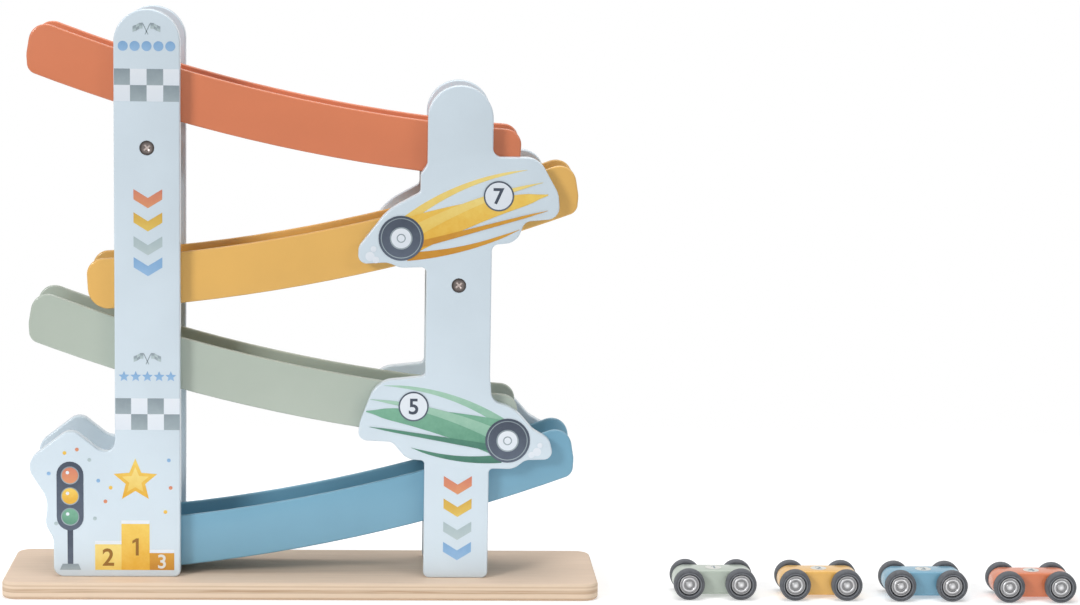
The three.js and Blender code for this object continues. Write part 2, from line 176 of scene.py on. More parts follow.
# Start light: outlines of its post and foot; across, up, half width and half height of its box; ink
# and height of each lens; radii of a lens's ring and glass; shift, lift and radius of a glint
LIGHT_POST = ((-45.6, 14), (-42.4, 14), (-42.4, 40), (-45.6, 40))
LIGHT_FOOT = ((-50, 14), (-38, 14), (-39.5, 17.5), (-48.5, 17.5))
LIGHT_BOX = (-44, 57, 7.6, 20)
LIGHT_LENSES = (("ink_orange", 69), ("ink_gold", 57), ("ink_green", 45))
LENS_RING, LENS_GLASS, LENS_GLINT = 5.2, 4.6, (-1.4, 1.6, 1)
# Confetti: ink and place of each dot, and radius
CONFETTI = (
    ("ink_orange", -24, 54), ("ink_blue", -28, 66), ("ink_grey", -30, 44), ("ink_blue", 12, 78),
    ("ink_orange", -40, 84), ("ink_grey", -33, 78), ("ink_gold", -21, 62), ("ink_blue", -56, 70),
    ("ink_gold", 10, 48), ("ink_orange", 13, 62), ("ink_grey", -52, 41), ("ink_gold", -47, 82),
)
CONFETTI_RADIUS = 1.1
# Sides of printed discs, from the large to the small
DISC_SIDES, PUFF_SIDES, DOT_SIDES = 40, 24, 16
# Star: inner radius as a share of the outer one, and the size of a star in a row against a dot
STAR_WAIST, STAR_MARK = 0.45, 1.15
# Places of the marks in a row, in pitches from its middle
MARK_PLACES = (-2, -1, 0, 1, 2)
# Stripe: how fast it closes at its end, and the share of its width that is left there
STRIPE_CLOSE, STRIPE_END = 6, 0.15

# Rings of a printed tyre as shares of its radius; white and number of a number's disc likewise
TYRE_RINGS = (
    ("ink_dark", 1.0), ("ink_slate", 0.9), ("ink_dark", 0.86), ("ink_slate", 0.5),
    ("ink_white", 0.44), ("ink_slate", 0.2), ("ink_white", 0.15),
)
NUMBER_DISC, NUMBER_HEIGHT = 0.9, 1.05

# Art of the two boards beside the right tower, in millimetres from the tower's line and the board's
# datum: tyre and number (across, up, radius), flames (ink, start, end, width at both, bow) and puffs
UPPER_ART = {
    "tyre": (-33, 7.5, 12.8),
    "number": (22, 32, 8.6),
    "flames": (
        ("ink_lemon", (-30, 18), (38, 47), 5, 1, 5), ("ink_ochre", (-30, -3), (34, 13), 5, 1, -3),
        ("ink_gold", (-28, 9), (50, 33), 21, 4, 2), ("ink_lemon", (-26, 11), (47, 40), 7, 1, 3),
        ("ink_ochre", (-26, 3), (50, 24), 4, 1, 0),
    ),
    "puffs": ((-50.5, -3, 2.6), (-47.2, -5, 1.9), (-48.6, 1.2, 1.7)),
}
LOWER_ART = {
    "tyre": (29, 1.5, 12.8),
    "number": (-25, 21, 8.6),
    "flames": (
        ("ink_mint", (26, 12), (-42, 33), 5, 1, -5), ("ink_leaf", (26, -9), (-26, -3), 5, 1, 3),
        ("ink_green", (24, 3), (-52, 18), 21, 4, -2), ("ink_mint", (22, 5), (-50, 25), 7, 1, -3),
        ("ink_leaf", (22, -3), (-50, 9), 4, 1, 0),
    ),
    "puffs": ((46, -5, 2.4), (42.8, -6.8, 1.8), (47.6, -1.2, 1.5)),
}

# Lamps of the stage: name, place, size and the setting that holds its power; where they aim
LAMPS = (
    ("key_lamp", (-1.35, -1.5, 1.15), 0.6, "key"), ("fill_lamp", (1.6, -1.5, 1.15), 0.7, "fill"),
    ("top_lamp", (0.1, 0.1, 1.9), 1.6, "top"),
)
LAMP_AIM = Vector((0.05, 0, 0.15))
FLOOR_PLACE = (0.1, 0, -0.0001)
# Greys of the stage: background, floor, glow of the floor beside the object and away from it
WHITE, FLOOR_GREY, NEAR_GLOW, FAR_GLOW = ((tone, tone, tone, 1.0) for tone in (1.0, 0.8, 0.36, 0.7))

# Edge of the base, the dark plies on it and the painted shade along its foot, as shares of its depth:
# start and end of the change into a band and out of it, and how dark each ply and the shade is
EDGE_BAND = (0.03, 0.06, 0.985, 0.995)
VENEER_BAND, VENEER_DARK = (0.14, 0.18, 0.22, 0.27), 0.4
CORE_BAND, CORE_DARK = (0.34, 0.4, 0.56, 0.62), 0.45
# Painted shade along the foot of the edge
FOOT_SHADE_START, FOOT_SHADE = (0.8, 0.88), 0.65

# Printed wash: weights of the run from top to foot and of the mottle, and where it starts
WASH_RUN, WASH_MOTTLE, WASH_START = 0.75, 0.9, 0.32

# Inks of the prints: colours as seen, from 0 to 255, at the top and at the foot of a shape
INKS = {
    "ink_slate": ((134, 147, 155), (160, 174, 180)),
    "ink_white": ((226, 232, 239), (219, 227, 236)),
    "ink_cream": ((220, 220, 215), (210, 211, 207)),
    "ink_orange": ((203, 122, 102), (219, 152, 108)),
    "ink_yellow": ((204, 160, 66), (222, 192, 98)),
    "ink_grey": ((164, 182, 187), (184, 199, 201)),
    "ink_blue": ((124, 166, 206), (150, 186, 222)),
    "ink_dark": ((62, 70, 84), (92, 102, 118)),
    "ink_gold": ((238, 206, 104), (222, 166, 52)),
    "ink_lemon": ((240, 220, 140), (228, 192, 92)),
    "ink_ochre": ((214, 160, 62), (190, 130, 46)),
    "ink_green": ((126, 178, 152), (84, 138, 116)),
    "ink_mint": ((168, 204, 184), (128, 176, 154)),
    "ink_leaf": ((92, 146, 122), (62, 108, 96)),
    "ink_brown": ((150, 106, 44), (126, 86, 36)),
}


def linear(colour):
    """A colour from 0 to 255 as seen, as linear red, green, blue and alpha."""
    shares = [part / 255 for part in colour]
    return [s / 12.92 if s <= 0.04045 else ((s + 0.055) / 1.055) ** 2.4 for s in shares] + [1.0]


def length(name, description, default):
    """A length in metres as a setting."""
    return FloatProperty(
        name=name, description=description, default=default, unit="LENGTH", precision=5
    )


def angle(name, description, degrees):
    """An angle as a setting, from degrees."""
    default = math.radians(degrees)
    return FloatProperty(name=name, description=description, default=default, subtype="ANGLE")


def colour(name, description, *default):
    """A colour as a setting, from red, green and blue as seen."""
    return FloatVectorProperty(
        name=name, description=description, default=linear(default),
        size=4, min=0, max=1, subtype="COLOR",
    )


class RampSizes(bpy.types.PropertyGroup):
    """Sizes of the base, the towers and the tracks."""

    seat_gap: length("Seat gap", "Gap left at glued faces", 0.0002)
    base_corner: length("Base corner", "Radius of the base's corners in plan", 0.009)
    base_ease: length("Base ease", "Rounding of the base's edges", 0.0018)
    tower_width: length("Tower width", "Width of a tower between its boards", 0.037)
    tower_spacing: length("Tower spacing", "Distance between the towers' centre lines", 0.176)
    panel_ease: length("Panel ease", "Rounding of the panels' edges", 0.0009)
    left_crown: length("Left crown", "Height of the left tower over the top track", 0.028)
    right_crown: length("Right crown", "Height of the right tower over the top track", 0.0225)
    spacer_ease: length("Spacer ease", "Rounding of the spacers' rims", 0.0008)
    track_radius: length("Track radius", "Radius of the walls' lower edge", 0.95)
    low_slope: angle("Low slope", "Fall of a track at its low end", 3.45)
    low_reach: length("Low reach", "From the middle of the ramp to a low end", 0.1215)
    high_reach: length("High reach", "From the middle of the ramp to the foot of a high end", 0.1551)
    high_bulge: length("High bulge", "How far a high end bulges out past its foot", 0.004)
    high_bulge_rise: length("High bulge rise", "Height of the bulge over the lower edge", 0.0086)
    high_overhang: length("High overhang", "How far a high end's top leans out past its foot", 0.0082)
    wall_thickness: length("Wall thickness", "Thickness of a track's wall", 0.003)
    wall_height: length("Wall height", "Height of a track's wall", 0.029)
    wall_ease: length("Wall ease", "Rounding of the walls' edges", 0.0011)
    track_width: length("Track width", "Width of a track over its walls", 0.04)
    low_foot_radius: length("Low foot radius", "Lower low corner that sets the levels", 0.01)
    low_foot_round: length("Low foot rounding", "Radius of the curve at the foot of a low end", 0.012)
    low_top_radius: length("Low top radius", "Upper corner at the low end", 0.009)
    high_foot_radius: length("High foot radius", "Lower corner at the high end", 0.006)
    high_bulge_radius: length("High bulge radius", "Rounding of the bulge at the high end", 0.014)
    high_top_radius: length("High top radius", "Upper corner at the high end", 0.01)
    floor_rise: length("Floor rise", "Height of the floor's underside over the lower edge", 0.002)
    floor_thickness: length("Floor thickness", "Thickness of a track's floor", 0.004)
    drop_length: length("Drop length", "How far a floor stops short of the low end", 0.028)
    last_inset: length("Last inset", "The same on the lowest track", 0.004)
    stop_thickness: length("Stop thickness", "Thickness of an end stop", 0.006)
    stop_height: length("Stop height", "Height of an end stop", 0.014)
    stop_radius: length("Stop radius", "Rounding of an end stop's top", 0.0024)
    small_ease: length("Small ease", "Rounding of floors and stops", 0.0008)
    level_gap: length("Level gap", "Gap between a low end and the track below", 0.0028)
    wall_steps: IntProperty(name="Wall steps", description="Sections along a track", default=18, min=4)


class CarSizes(bpy.types.PropertyGroup):
    """Sizes of the cars and the screws."""

    body_end_radius: length("Body end radius", "Rounding of a body's ends", 0.007)
    body_ease: length("Body ease", "Rounding of a body's long edges", 0.0016)
    tyre_shoulder: length("Tyre shoulder", "Rounding of a tyre's edges", 0.0014)
    tyre_groove: length("Tyre groove", "Depth of a tyre's side behind its lip", 0.0002)
    tyre_clear: length("Tyre clearance", "Gap between a hub and its tyre", 0.00015)
    tyre_lip: length("Tyre lip", "Distance of the lip from the bore", 0.001)
    lip_width: length("Lip width", "Half width of the lip on a tyre", 0.0004)
    lip_rise: length("Lip rise", "Height of the lip on a tyre", 0.0003)
    lip_foot: length("Lip foot", "Distance from the lip's middle to its outer foot", 0.0005)
    hub_depth: length("Hub depth", "Width of a hub along its axle", 0.0044)
    hub_ease: length("Hub ease", "Bevel of a hub's back edge", 0.0002)
    hub_dish: length("Hub dish", "Depth of the dish in a hub", 0.0007)
    hub_well: length("Hub well", "Depth of the well round an axle's end, under the dish", 0.00025)
    axle_radius: length("Axle radius", "Radius of an axle in its body", 0.0013)
    axle_clear: length("Axle clearance", "Gap round an axle in its bore", 0.0003)
    axle_end_radius: length("Axle end radius", "Radius of the dome on an axle's end", 0.0024)
    disc_radius: length("Disc radius", "Radius of the number disc on a car", 0.0046)
    number_height: length("Number height", "Height of the number on a car", 0.006)
    screw_radius: length("Screw radius", "Radius of a screw's head", 0.004)
    screw_head: length("Screw head", "Depth of a screw's head", 0.003)
    hole_rim: length("Hole rim", "Straight edge of a screw's hole", 0.0005)
    screw_shank: length("Screw shank", "Radius of a screw's shank", 0.0018)
    screw_tip: length("Screw tip", "Length of a screw's pointed tip", 0.004)
    screw_clear: length("Screw clearance", "Gap round a screw's head in its hole", 0.0002)
    recess_arm: length("Recess arm", "Half length of a screw's cross", 0.0024)
    recess_width: length("Recess width", "Half width of an arm of the cross", 0.0006)
    recess_depth: length("Recess depth", "Depth of the cross", 0.0006)
    recess_turn: angle("Recess turn", "Turn of the cross about the screw", 38)
    turns: IntProperty(name="Turns", description="Sides of a turned piece", default=72, min=12)


class PrintSizes(bpy.types.PropertyGroup):
    """Sizes of the prints on the panels."""

    film: length("Film", "Thickness of one layer of print", 0.00005)
    square_rows: IntProperty(name="Rows", description="Rows of a chequer band", default=2, min=1)
    square_columns: IntProperty(
        name="Columns", description="Columns of a chequer band", default=4, min=1
    )
    square_height: length("Square height", "Height of a chequer square", 0.0091)
    chevron_width: length("Chevron width", "Width of a chevron", 0.0161)
    chevron_notch: length("Chevron notch", "Depth of a chevron's notch", 0.005)
    chevron_arm: length("Chevron arm", "Height of a chevron's arm", 0.0058)
    mark_pitch: length("Mark pitch", "Distance between the marks of a row", 0.0066)
    mark_radius: length("Mark radius", "Radius of a mark in a row", 0.0028)
    start_flags: length("Start flags", "Height of the flags at the start", 0.3235)
    start_marks: length("Start marks", "Height of the marks at the start", 0.3134)
    start_chequer: length("Start chequer", "Height of the chequer band at the start", 0.2916)
    left_chevrons: length("Left chevrons", "Height of the chevrons on the left tower", 0.2332)
    left_shift: length("Left shift", "How far the left chevrons stand to the right", 0.0005)
    finish_flags: length("Finish flags", "Height of the flags at the finish", 0.137)
    finish_marks: length("Finish marks", "Height of the marks at the finish", 0.1263)
    finish_chequer: length("Finish chequer", "Height of the chequer band at the finish", 0.1047)
    right_chevrons: length("Right chevrons", "Height of the chevrons on the right tower", 0.0698)
    right_shift: length("Right shift", "How far the right chevrons stand to the right", 0.0008)


class Colours(bpy.types.PropertyGroup):
    """Colours of the paints, the woods, the tyres and the metal."""

    panel: colour("Panels", "Paint of the towers", 208, 222, 232)
    orange: colour("Orange", "Paint of the top track and of a car", 216, 123, 81)
    yellow: colour("Yellow", "Paint of the second track and of a car", 228, 178, 91)
    sage: colour("Sage", "Paint of the third track and of a car", 176, 187, 175)
    blue: colour("Blue", "Paint of the lowest track and of a car", 112, 163, 188)
    base_face: colour("Base face", "Plywood of the base, on its faces", 233, 208, 185)
    pale_ply: colour("Pale ply", "Pale plies along the edge of the base", 224, 202, 178)
    # Dark plies, whose colour also paints the shade along the foot of the base's edge
    dark_ply: colour("Dark ply", "Dark plies along the edge of the base", 186, 154, 124)
    wood: colour("Wood", "Bare wood of the spacers", 226, 196, 154)
    tyre: colour("Tyre", "Rubber of the tyres", 74, 76, 80)
    # The hub and screw colours are bright tones, shown where the painted highlights and reflections lie
    hub: colour("Hub", "Bright metal of the hubs", 226, 226, 228)
    screw: colour("Screw", "Bright metal of the screws", 186, 174, 169)


class StageSettings(bpy.types.PropertyGroup):
    """Camera and light of the photograph."""

    eye: FloatVectorProperty(
        name="Eye", description="Place of the camera", default=(0.0422, -1.6617, 0.4069),
        unit="LENGTH", precision=5,
    )
    yaw: angle("Yaw", "Turn of the camera to the right", 3.227)
    pitch: angle("Pitch", "Tilt of the camera downwards", 8.213)
    roll: angle("Roll", "Roll of the camera", 0.958)
    lens: FloatProperty(name="Lens", description="Focal length", default=96.79, unit="CAMERA")
    sensor: FloatProperty(name="Sensor", description="Width of the film", default=36.0, unit="CAMERA")
    sky: FloatProperty(name="Sky", description="Strength of the even light", default=0.29)
    key: FloatProperty(name="Key", description="Power of the main lamp", default=25.0, unit="POWER")
    fill: FloatProperty(name="Fill", description="Power of the fill lamp", default=7.0, unit="POWER")
    top: FloatProperty(name="Top", description="Power of the lamp overhead", default=22.0, unit="POWER")
    floor_size: length("Floor size", "Side of the floor", 8.0)
    floor_glow: length("Floor glow", "Distance from the object at which the floor is brightest", 0.14)
    floor_fade: length("Floor fade", "Distance from the object at which the floor starts to go", 0.08)
    floor_clear: length("Floor clear", "Distance from the object at which the floor has gone", 0.45)


# Settings of the scene

def sizes():
    return bpy.context.scene.ramp_sizes


def cars():
    return bpy.context.scene.ramp_cars


def prints():
    return bpy.context.scene.ramp_prints


def colours():
    return bpy.context.scene.ramp_colours


def toned(colour, share):
    """A linear colour made darker by a share."""
    return [part * share for part in colour[:3]] + [1.0]


# Shader building

class Value:
    """A shader socket that takes part in arithmetic."""

    def __init__(self, graph, socket):
        self.graph = graph
        self.socket = socket

    def _join(self, operation, first, second):
        node = self.graph.node("ShaderNodeMath", {"operation": operation}, {0: first, 1: second})
        return Value(self.graph, node.outputs[0])

    def __add__(self, other):
        return self._join("ADD", self, other)

    def __radd__(self, other):
        return self._join("ADD", other, self)

    def __sub__(self, other):
        return self._join("SUBTRACT", self, other)

    def __rsub__(self, other):
        return self._join("SUBTRACT", other, self)

    def __mul__(self, other):
        return self._join("MULTIPLY", self, other)

    def __rmul__(self, other):
        return self._join("MULTIPLY", other, self)

    def __truediv__(self, other):
        return self._join("DIVIDE", self, other)

    def __rtruediv__(self, other):
        return self._join("DIVIDE", other, self)

    def size(self):
        return self._join("ABSOLUTE", self, 0.0)

    def root(self):
        return self._join("SQRT", self, 0.0)

    def most(self, other):
        return self._join("MAXIMUM", self, other)

    def span(self, low, high):
        """This value mapped so that low becomes 0 and high becomes 1, held at both ends."""
        node = self.graph.node(
            "ShaderNodeMapRange", {"clamp": True}, {"Value": self, "From Min": low, "From Max": high}
        )
        return Value(self.graph, node.outputs["Result"])

    def band(self, rise_start, rise_end, fall_start, fall_end):
        """A mask that rises to 1 between two values and falls to 0 again between two others."""
        return self.span(rise_start, rise_end) - self.span(fall_start, fall_end)


class Graph:
    """A node tree and the way to add to it."""

    def __init__(self, tree):
        self.tree = tree

    def node(self, kind, settings=None, inputs=None):
        """A new node of a kind, with its settings and the values or links of its sockets."""
        made = self.tree.nodes.new(kind)
        for key, setting in (settings or {}).items():
            setattr(made, key, setting)
        for key, value in (inputs or {}).items():
            self.feed(made.inputs[key], value)
        return made

    def feed(self, socket, value):
        """Links a socket to a value, or sets it to a constant."""
        if isinstance(value, Value):
            value = value.socket
        if isinstance(value, bpy.types.NodeSocket):
            self.tree.links.new(value, socket)
        else:
            socket.default_value = value


class Finish(Graph):
    """The node tree of one new material."""

    def __init__(self, name):
        self.material = bpy.data.materials.new(name)
        self.material.use_nodes = True
        super().__init__(self.material.node_tree)
        self.shader = self.tree.nodes["Principled BSDF"]
        self.point = self.node("ShaderNodeTexCoord").outputs["Object"]

    def axes(self):
        """The three parts of a place on the piece."""
        parts = self.node("ShaderNodeSeparateXYZ", inputs={"Vector": self.point})
        return [Value(self, socket) for socket in parts.outputs]

    def noise(self, scale, detail, stretch=(1.0, 1.0, 1.0)):
        """Noise over the piece, with its own scale along each axis."""
        placed = self.node("ShaderNodeMapping", inputs={"Vector": self.point, "Scale": stretch})
        inputs = {"Vector": placed.outputs[0], "Scale": scale, "Detail": detail}
        return Value(self, self.node("ShaderNodeTexNoise", inputs=inputs).outputs[0])

    def attribute(self, name):
        """A value kept on the points of the mesh."""
        return Value(self, self.node("ShaderNodeAttribute", {"attribute_name": name}).outputs["Fac"])

    def blend(self, factor, first, second):
        """A colour between two others."""
        made = self.node("ShaderNodeMix", {"data_type": "RGBA"}, {0: factor, 6: first, 7: second})
        return made.outputs[2]

    def bump(self, height, strength, distance):
        """Lets the surface rise and fall with a height."""
        inputs = {"Height": height, "Strength": strength, "Distance": distance}
        made = self.node("ShaderNodeBump", inputs=inputs)
        self.feed(self.shader.inputs["Normal"], made.outputs[0])

    def surface(self, **inputs):
        """Feeds sockets of the shader, whose names have an underscore for a space."""
        for key, value in inputs.items():
            self.feed(self.shader.inputs[key.replace("_", " ")], value)


def paint_material(name):
    """Satin paint on smooth board: faint clouding, fine orange peel, uneven sheen."""
    graph = Finish(name)
    paint = getattr(colours(), name)
    cloud = graph.noise(scale=26.0, detail=3.0)
    fleck = graph.noise(scale=900.0, detail=2.0)
    graph.surface(
        Base_Color=graph.blend(cloud.span(0.3, 0.7) * 0.8 + fleck * 0.2, paint, toned(paint, 0.93)),
        Roughness=0.34 + 0.14 * graph.noise(scale=160.0, detail=2.0),
        Specular_IOR_Level=0.4,
        Coat_Weight=0.55,
        Coat_Roughness=0.14,
    )
    graph.bump(graph.noise(scale=1400.0, detail=2.0), strength=0.08, distance=0.0001)
    return graph.material


def ink_material(name):
    """Printed watercolour: a wash from the top of each shape to its foot, mottled like paper."""
    graph = Finish(name)
    first, second = INKS[name]
    wash = graph.attribute("wash")
    mottle = graph.noise(scale=190.0, detail=4.0) * 0.7 + graph.noise(scale=900.0, detail=2.0) * 0.3
    run = (wash * WASH_RUN + mottle * WASH_MOTTLE - WASH_START).span(0.0, 1.0)
    graph.surface(
        Base_Color=graph.blend(run, linear(first), linear(second)),
        Roughness=0.5 + 0.12 * mottle,
        Specular_IOR_Level=0.35,
    )
    return graph.material


def plywood_material(name):
    """Pale plywood: faint long grain on the faces and soft plies on the edge, told apart by height, and
    painted shade along the foot of the edge.
    """
    graph = Finish(name)
    low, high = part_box("base_board")
    x, y, z = graph.axes()
    grain = graph.noise(scale=26.0, detail=5.0, stretch=(1.2, 16.0, 16.0))
    pores = graph.noise(scale=70.0, detail=3.0, stretch=(3.0, 60.0, 60.0))
    tone = (grain * 0.65 + pores * 0.35).span(0.25, 0.8)
    face = graph.blend(tone, colours().base_face, toned(colours().base_face, 0.86))
    depth = (high.z - z) / (high.z - low.z)
    fibre = graph.noise(scale=90.0, detail=4.0, stretch=(0.6, 0.6, 10.0))
    streak = graph.noise(scale=60.0, detail=2.0, stretch=(0.5, 0.5, 30.0)).span(0.45, 0.7)
    veneer = depth.band(*VENEER_BAND) * VENEER_DARK
    core = depth.band(*CORE_BAND) * (CORE_DARK + (1 - CORE_DARK) * streak)
    # Painted shade along the foot of the edge, in the colour of the dark plies
    foot = depth.span(*FOOT_SHADE_START) * FOOT_SHADE
    pale = graph.blend(fibre, colours().pale_ply, toned(colours().pale_ply, 0.9))
    dark = graph.blend(fibre, colours().dark_ply, toned(colours().dark_ply, 0.8))
    edge = graph.blend(veneer + core + foot, pale, dark)
    graph.surface(
        Base_Color=graph.blend(depth.band(*EDGE_BAND), face, edge),
        Roughness=0.52 + 0.16 * pores,
        Specular_IOR_Level=0.3,
    )
    graph.bump(pores * 0.6 + fibre * 0.4, strength=0.1, distance=0.0001)
    return graph.material


def wood_material(name):
    """Bare turned beech with short flecks along its length."""
    graph = Finish(name)
    grain = graph.noise(scale=60.0, detail=5.0, stretch=(14.0, 1.2, 14.0))
    fleck = graph.noise(scale=200.0, detail=2.0, stretch=(6.0, 1.0, 6.0))
    tone = (grain * 0.7 + fleck * 0.3).span(0.3, 0.7)
    graph.surface(
        Base_Color=graph.blend(tone, colours().wood, toned(colours().wood, 0.7)),
        Roughness=0.6 + 0.14 * fleck,
        Specular_IOR_Level=0.3,
    )
    graph.bump(fleck, strength=0.15, distance=0.0002)
    return graph.material


def rubber_material(name):
    """Dark grey tyre, dusty and matt, painted lighter as highlight on its lip and shoulders."""
    graph = Finish(name)
    dust = graph.noise(scale=320.0, detail=4.0)
    # Dust, and painted highlight on the lip and shoulders
    dust_and_highlight = dust.span(0.35, 0.7) * 0.35 + graph.attribute("wash") * 0.8
    graph.surface(
        Base_Color=graph.blend(dust_and_highlight.span(0.0, 1.0), colours().tyre, toned(colours().tyre, 2.4)),
        Roughness=0.62 + 0.2 * dust,
        Specular_IOR_Level=0.4,
    )
    graph.bump(graph.noise(scale=1800.0, detail=2.0), strength=0.18, distance=0.0001)
    return graph.material


def metal_material(name, shade_and_dark_metal, roughness):
    """Turned metal: painted shade in the hubs' recesses, dark heads on the screws, and painted highlight
    and reflection where the painted light is high, with duller patches.
    """
    graph = Finish(name)
    patch = graph.noise(scale=260.0, detail=3.0)
    wash = graph.attribute("wash")
    bright = getattr(colours(), name)
    # Dark tone where the painted light is low, bright tone where it is high
    graph.surface(
        Base_Color=graph.blend((wash - 0.15 * patch).span(0.0, 0.9), toned(bright, shade_and_dark_metal), bright),
        Roughness=roughness + 0.1 * patch - 0.08 * wash,
        Metallic=1.0,
    )
    return graph.material


def material(name):
    """The material of that name, built the first time it is asked for."""
    found = bpy.data.materials.get("look_" + name)
    if found is not None:
        return found
    if name in PAINTS:
        made = paint_material(name)
    elif name in INKS:
        made = ink_material(name)
    elif name == "base":
        made = plywood_material(name)
    elif name == "wood":
        made = wood_material(name)
    elif name == "tyre":
        made = rubber_material(name)
    elif name == "hub":
        made = metal_material(name, shade_and_dark_metal=0.36, roughness=0.36)
    elif name == "screw":
        made = metal_material(name, shade_and_dark_metal=0.14, roughness=0.4)
    else:
        raise ValueError("no material named " + name)
    made.name = "look_" + name
    return made


# Mesh building

def bevel(bm, edges, offset, segments):
    """Rounds edges."""
    bmesh.ops.bevel(
        bm, geom=edges, offset=offset, offset_type="OFFSET", segments=segments, profile=0.5,
        affect="EDGES", clamp_overlap=False, material=-1,
    )


def extruded(bm, face, step):
    """Extrudes one loose face into a closed block."""
    made = bmesh.ops.extrude_face_region(bm, geom=[face])
    moved = [item for item in made["geom"] if isinstance(item, bmesh.types.BMVert)]
    bmesh.ops.translate(bm, verts=moved, vec=step)
    bmesh.ops.recalc_face_normals(bm, faces=bm.faces)


def edge_at(bm, first, second):
    """The edge that joins two points, or lies a little off them where a curve is cut along a chord."""
    def miss(edge):
        a, b = (vert.co for vert in edge.verts)
        return min(
            (a - first).length + (b - second).length, (a - second).length + (b - first).length
        )

    nearest = min(bm.edges, key=miss)
    if miss(nearest) > EDGE_MISS:
        raise ValueError(f"there is no edge between {first} and {second}")
    return nearest


def rim_edges(bm, axis):
    """Edges between the faces that look along an axis and the faces round them."""
    bm.normal_update()
    return [
        edge for edge in bm.edges
        if len(edge.link_faces) == 2
        and sum(abs(face.normal.dot(axis)) > FLAT for face in edge.link_faces) == 1
    ]


def corner_turn(corners, index):
    """How far an outline turns at one of its corners."""
    before, here, after = (Vector(corners[(index + step) % len(corners)][:2]) for step in (-1, 0, 1))
    arriving, leaving = here - before, after - here
    return abs(arriving.angle_signed(leaving))


def round_corner(bm, edge, radius, turn):
    """Rounds an upright edge where an outline turns, in even steps."""
    bevel(bm, [edge], radius * math.tan(turn / 2), max(CORNER_STEPS, math.ceil(turn / CORNER_STEP)))


def box_corners(left, foot, right, top, radius=0.0):
    """Corners (u, v, radius) of a rectangle."""
    return [(u, v, radius) for u, v in ((left, foot), (right, foot), (right, top), (left, top))]


def rounded_board(corners, low, high, ease, across):
    """A board from corners (u, v, radius) between two depths. Across is Y for a standing board and Z
    for a flat one."""
    def place(u, v, depth):
        return Vector((u, depth, v)) if across == "Y" else Vector((u, v, depth))

    axis = place(0, 0, 1)
    bm = bmesh.new()
    outline = bm.faces.new([bm.verts.new(place(u, v, low)) for u, v, radius in corners])
    extruded(bm, outline, axis * (high - low))
    for index, (u, v, radius) in enumerate(corners):
        if radius > 0:
            edge = edge_at(bm, place(u, v, low), place(u, v, high))
            round_corner(bm, edge, radius, corner_turn(corners, index))
    bmesh.ops.remove_doubles(bm, verts=bm.verts, dist=NEAR)
    bevel(bm, rim_edges(bm, axis), ease, EASE_STEPS)
    return bm


def circle(bm, centre, axis, radius):
    """A ring of edges round an axis; returns its edges."""
    turn = Z_AXIS.rotation_difference(axis).to_matrix().to_4x4()
    verts = bmesh.ops.create_circle(
        bm, cap_ends=False, segments=cars().turns, radius=radius,
        matrix=Matrix.Translation(centre) @ turn,
    )["verts"]
    return list({edge for vert in verts for edge in vert.link_edges})


def holed(bm, axis, spots, cut):
    """Cuts holes through a board along an axis at some spots. Cut is given the near and the far end of
    a hole, makes its wall and returns the edges of its near and its far mouth."""
    bm.normal_update()
    caps, levels, outlines = {}, {}, {}
    for side in (-1, 1):
        looking = [face for face in bm.faces if face.normal.dot(axis) * side > FLAT]
        caps[side] = max(looking, key=lambda face: face.calc_area())
        levels[side] = caps[side].calc_center_median().dot(axis)
        outlines[side] = list(caps[side].edges)
    bmesh.ops.delete(bm, geom=list(caps.values()), context="FACES_ONLY")
    for spot in spots:
        mouths = cut(*(spot + axis * (levels[side] - spot.dot(axis)) for side in (-1, 1)))
        for side, mouth in zip((-1, 1), mouths):
            outlines[side] += mouth
    for side in (-1, 1):
        bmesh.ops.triangle_fill(bm, edges=outlines[side], use_beauty=True, normal=axis * side)
    bmesh.ops.recalc_face_normals(bm, faces=bm.faces)
    return bm


def drilled(bm, axis, heads):
    """Cuts holes for countersunk screws through a board along an axis."""
    c = cars()
    shank, wide = c.screw_shank + c.screw_clear, c.screw_radius + c.screw_clear

    def cut(near, far):
        mouth, end = circle(bm, near, axis, wide), circle(bm, far, axis, shank)
        rim = sunk(bm, mouth, axis * c.hole_rim, near, 1.0)
        neck = sunk(bm, rim, axis * (c.screw_head - c.hole_rim), near, shank / wide)
        bmesh.ops.bridge_loops(bm, edges=neck + end)
        return mouth, end

    return holed(bm, axis, heads, cut)


def bored(bm, axis, spots, radius):
    """Cuts plain round holes through a board along an axis."""
    def cut(near, far):
        mouth, end = circle(bm, near, axis, radius), circle(bm, far, axis, radius)
        bmesh.ops.bridge_loops(bm, edges=mouth + end)
        return mouth, end

    return holed(bm, axis, spots, cut)


def sunk(bm, edges, step, centre, shrink):
    """Extrudes a ring of edges along an axis and scales it round a centre; returns the new ring."""
    made = bmesh.ops.extrude_edge_only(bm, edges=edges)["geom"]
    verts = [item for item in made if isinstance(item, bmesh.types.BMVert)]
    across = Vector([1.0 if abs(part) > 0 else shrink for part in step])
    bmesh.ops.scale(bm, vec=across, space=Matrix.Translation(-centre), verts=verts)
    bmesh.ops.translate(bm, verts=verts, vec=step)
    return [item for item in made if isinstance(item, bmesh.types.BMEdge)]


def turned_size(low, high):
    """Radius, half length and middle of a piece turned about an axis along Y, from its box."""
    return (high.z - low.z) / 2, (high.y - low.y) / 2, (low + high) / 2


def sweep(turn, steps):
    """Even steps from nought to an angle, with both ends."""
    return [turn * step / steps for step in range(steps + 1)]


def mirror(side):
    """The other half of a profile of points (radius, place along the axis, painted light)."""
    return [(radius, -along, wash) for radius, along, wash in reversed(side)]


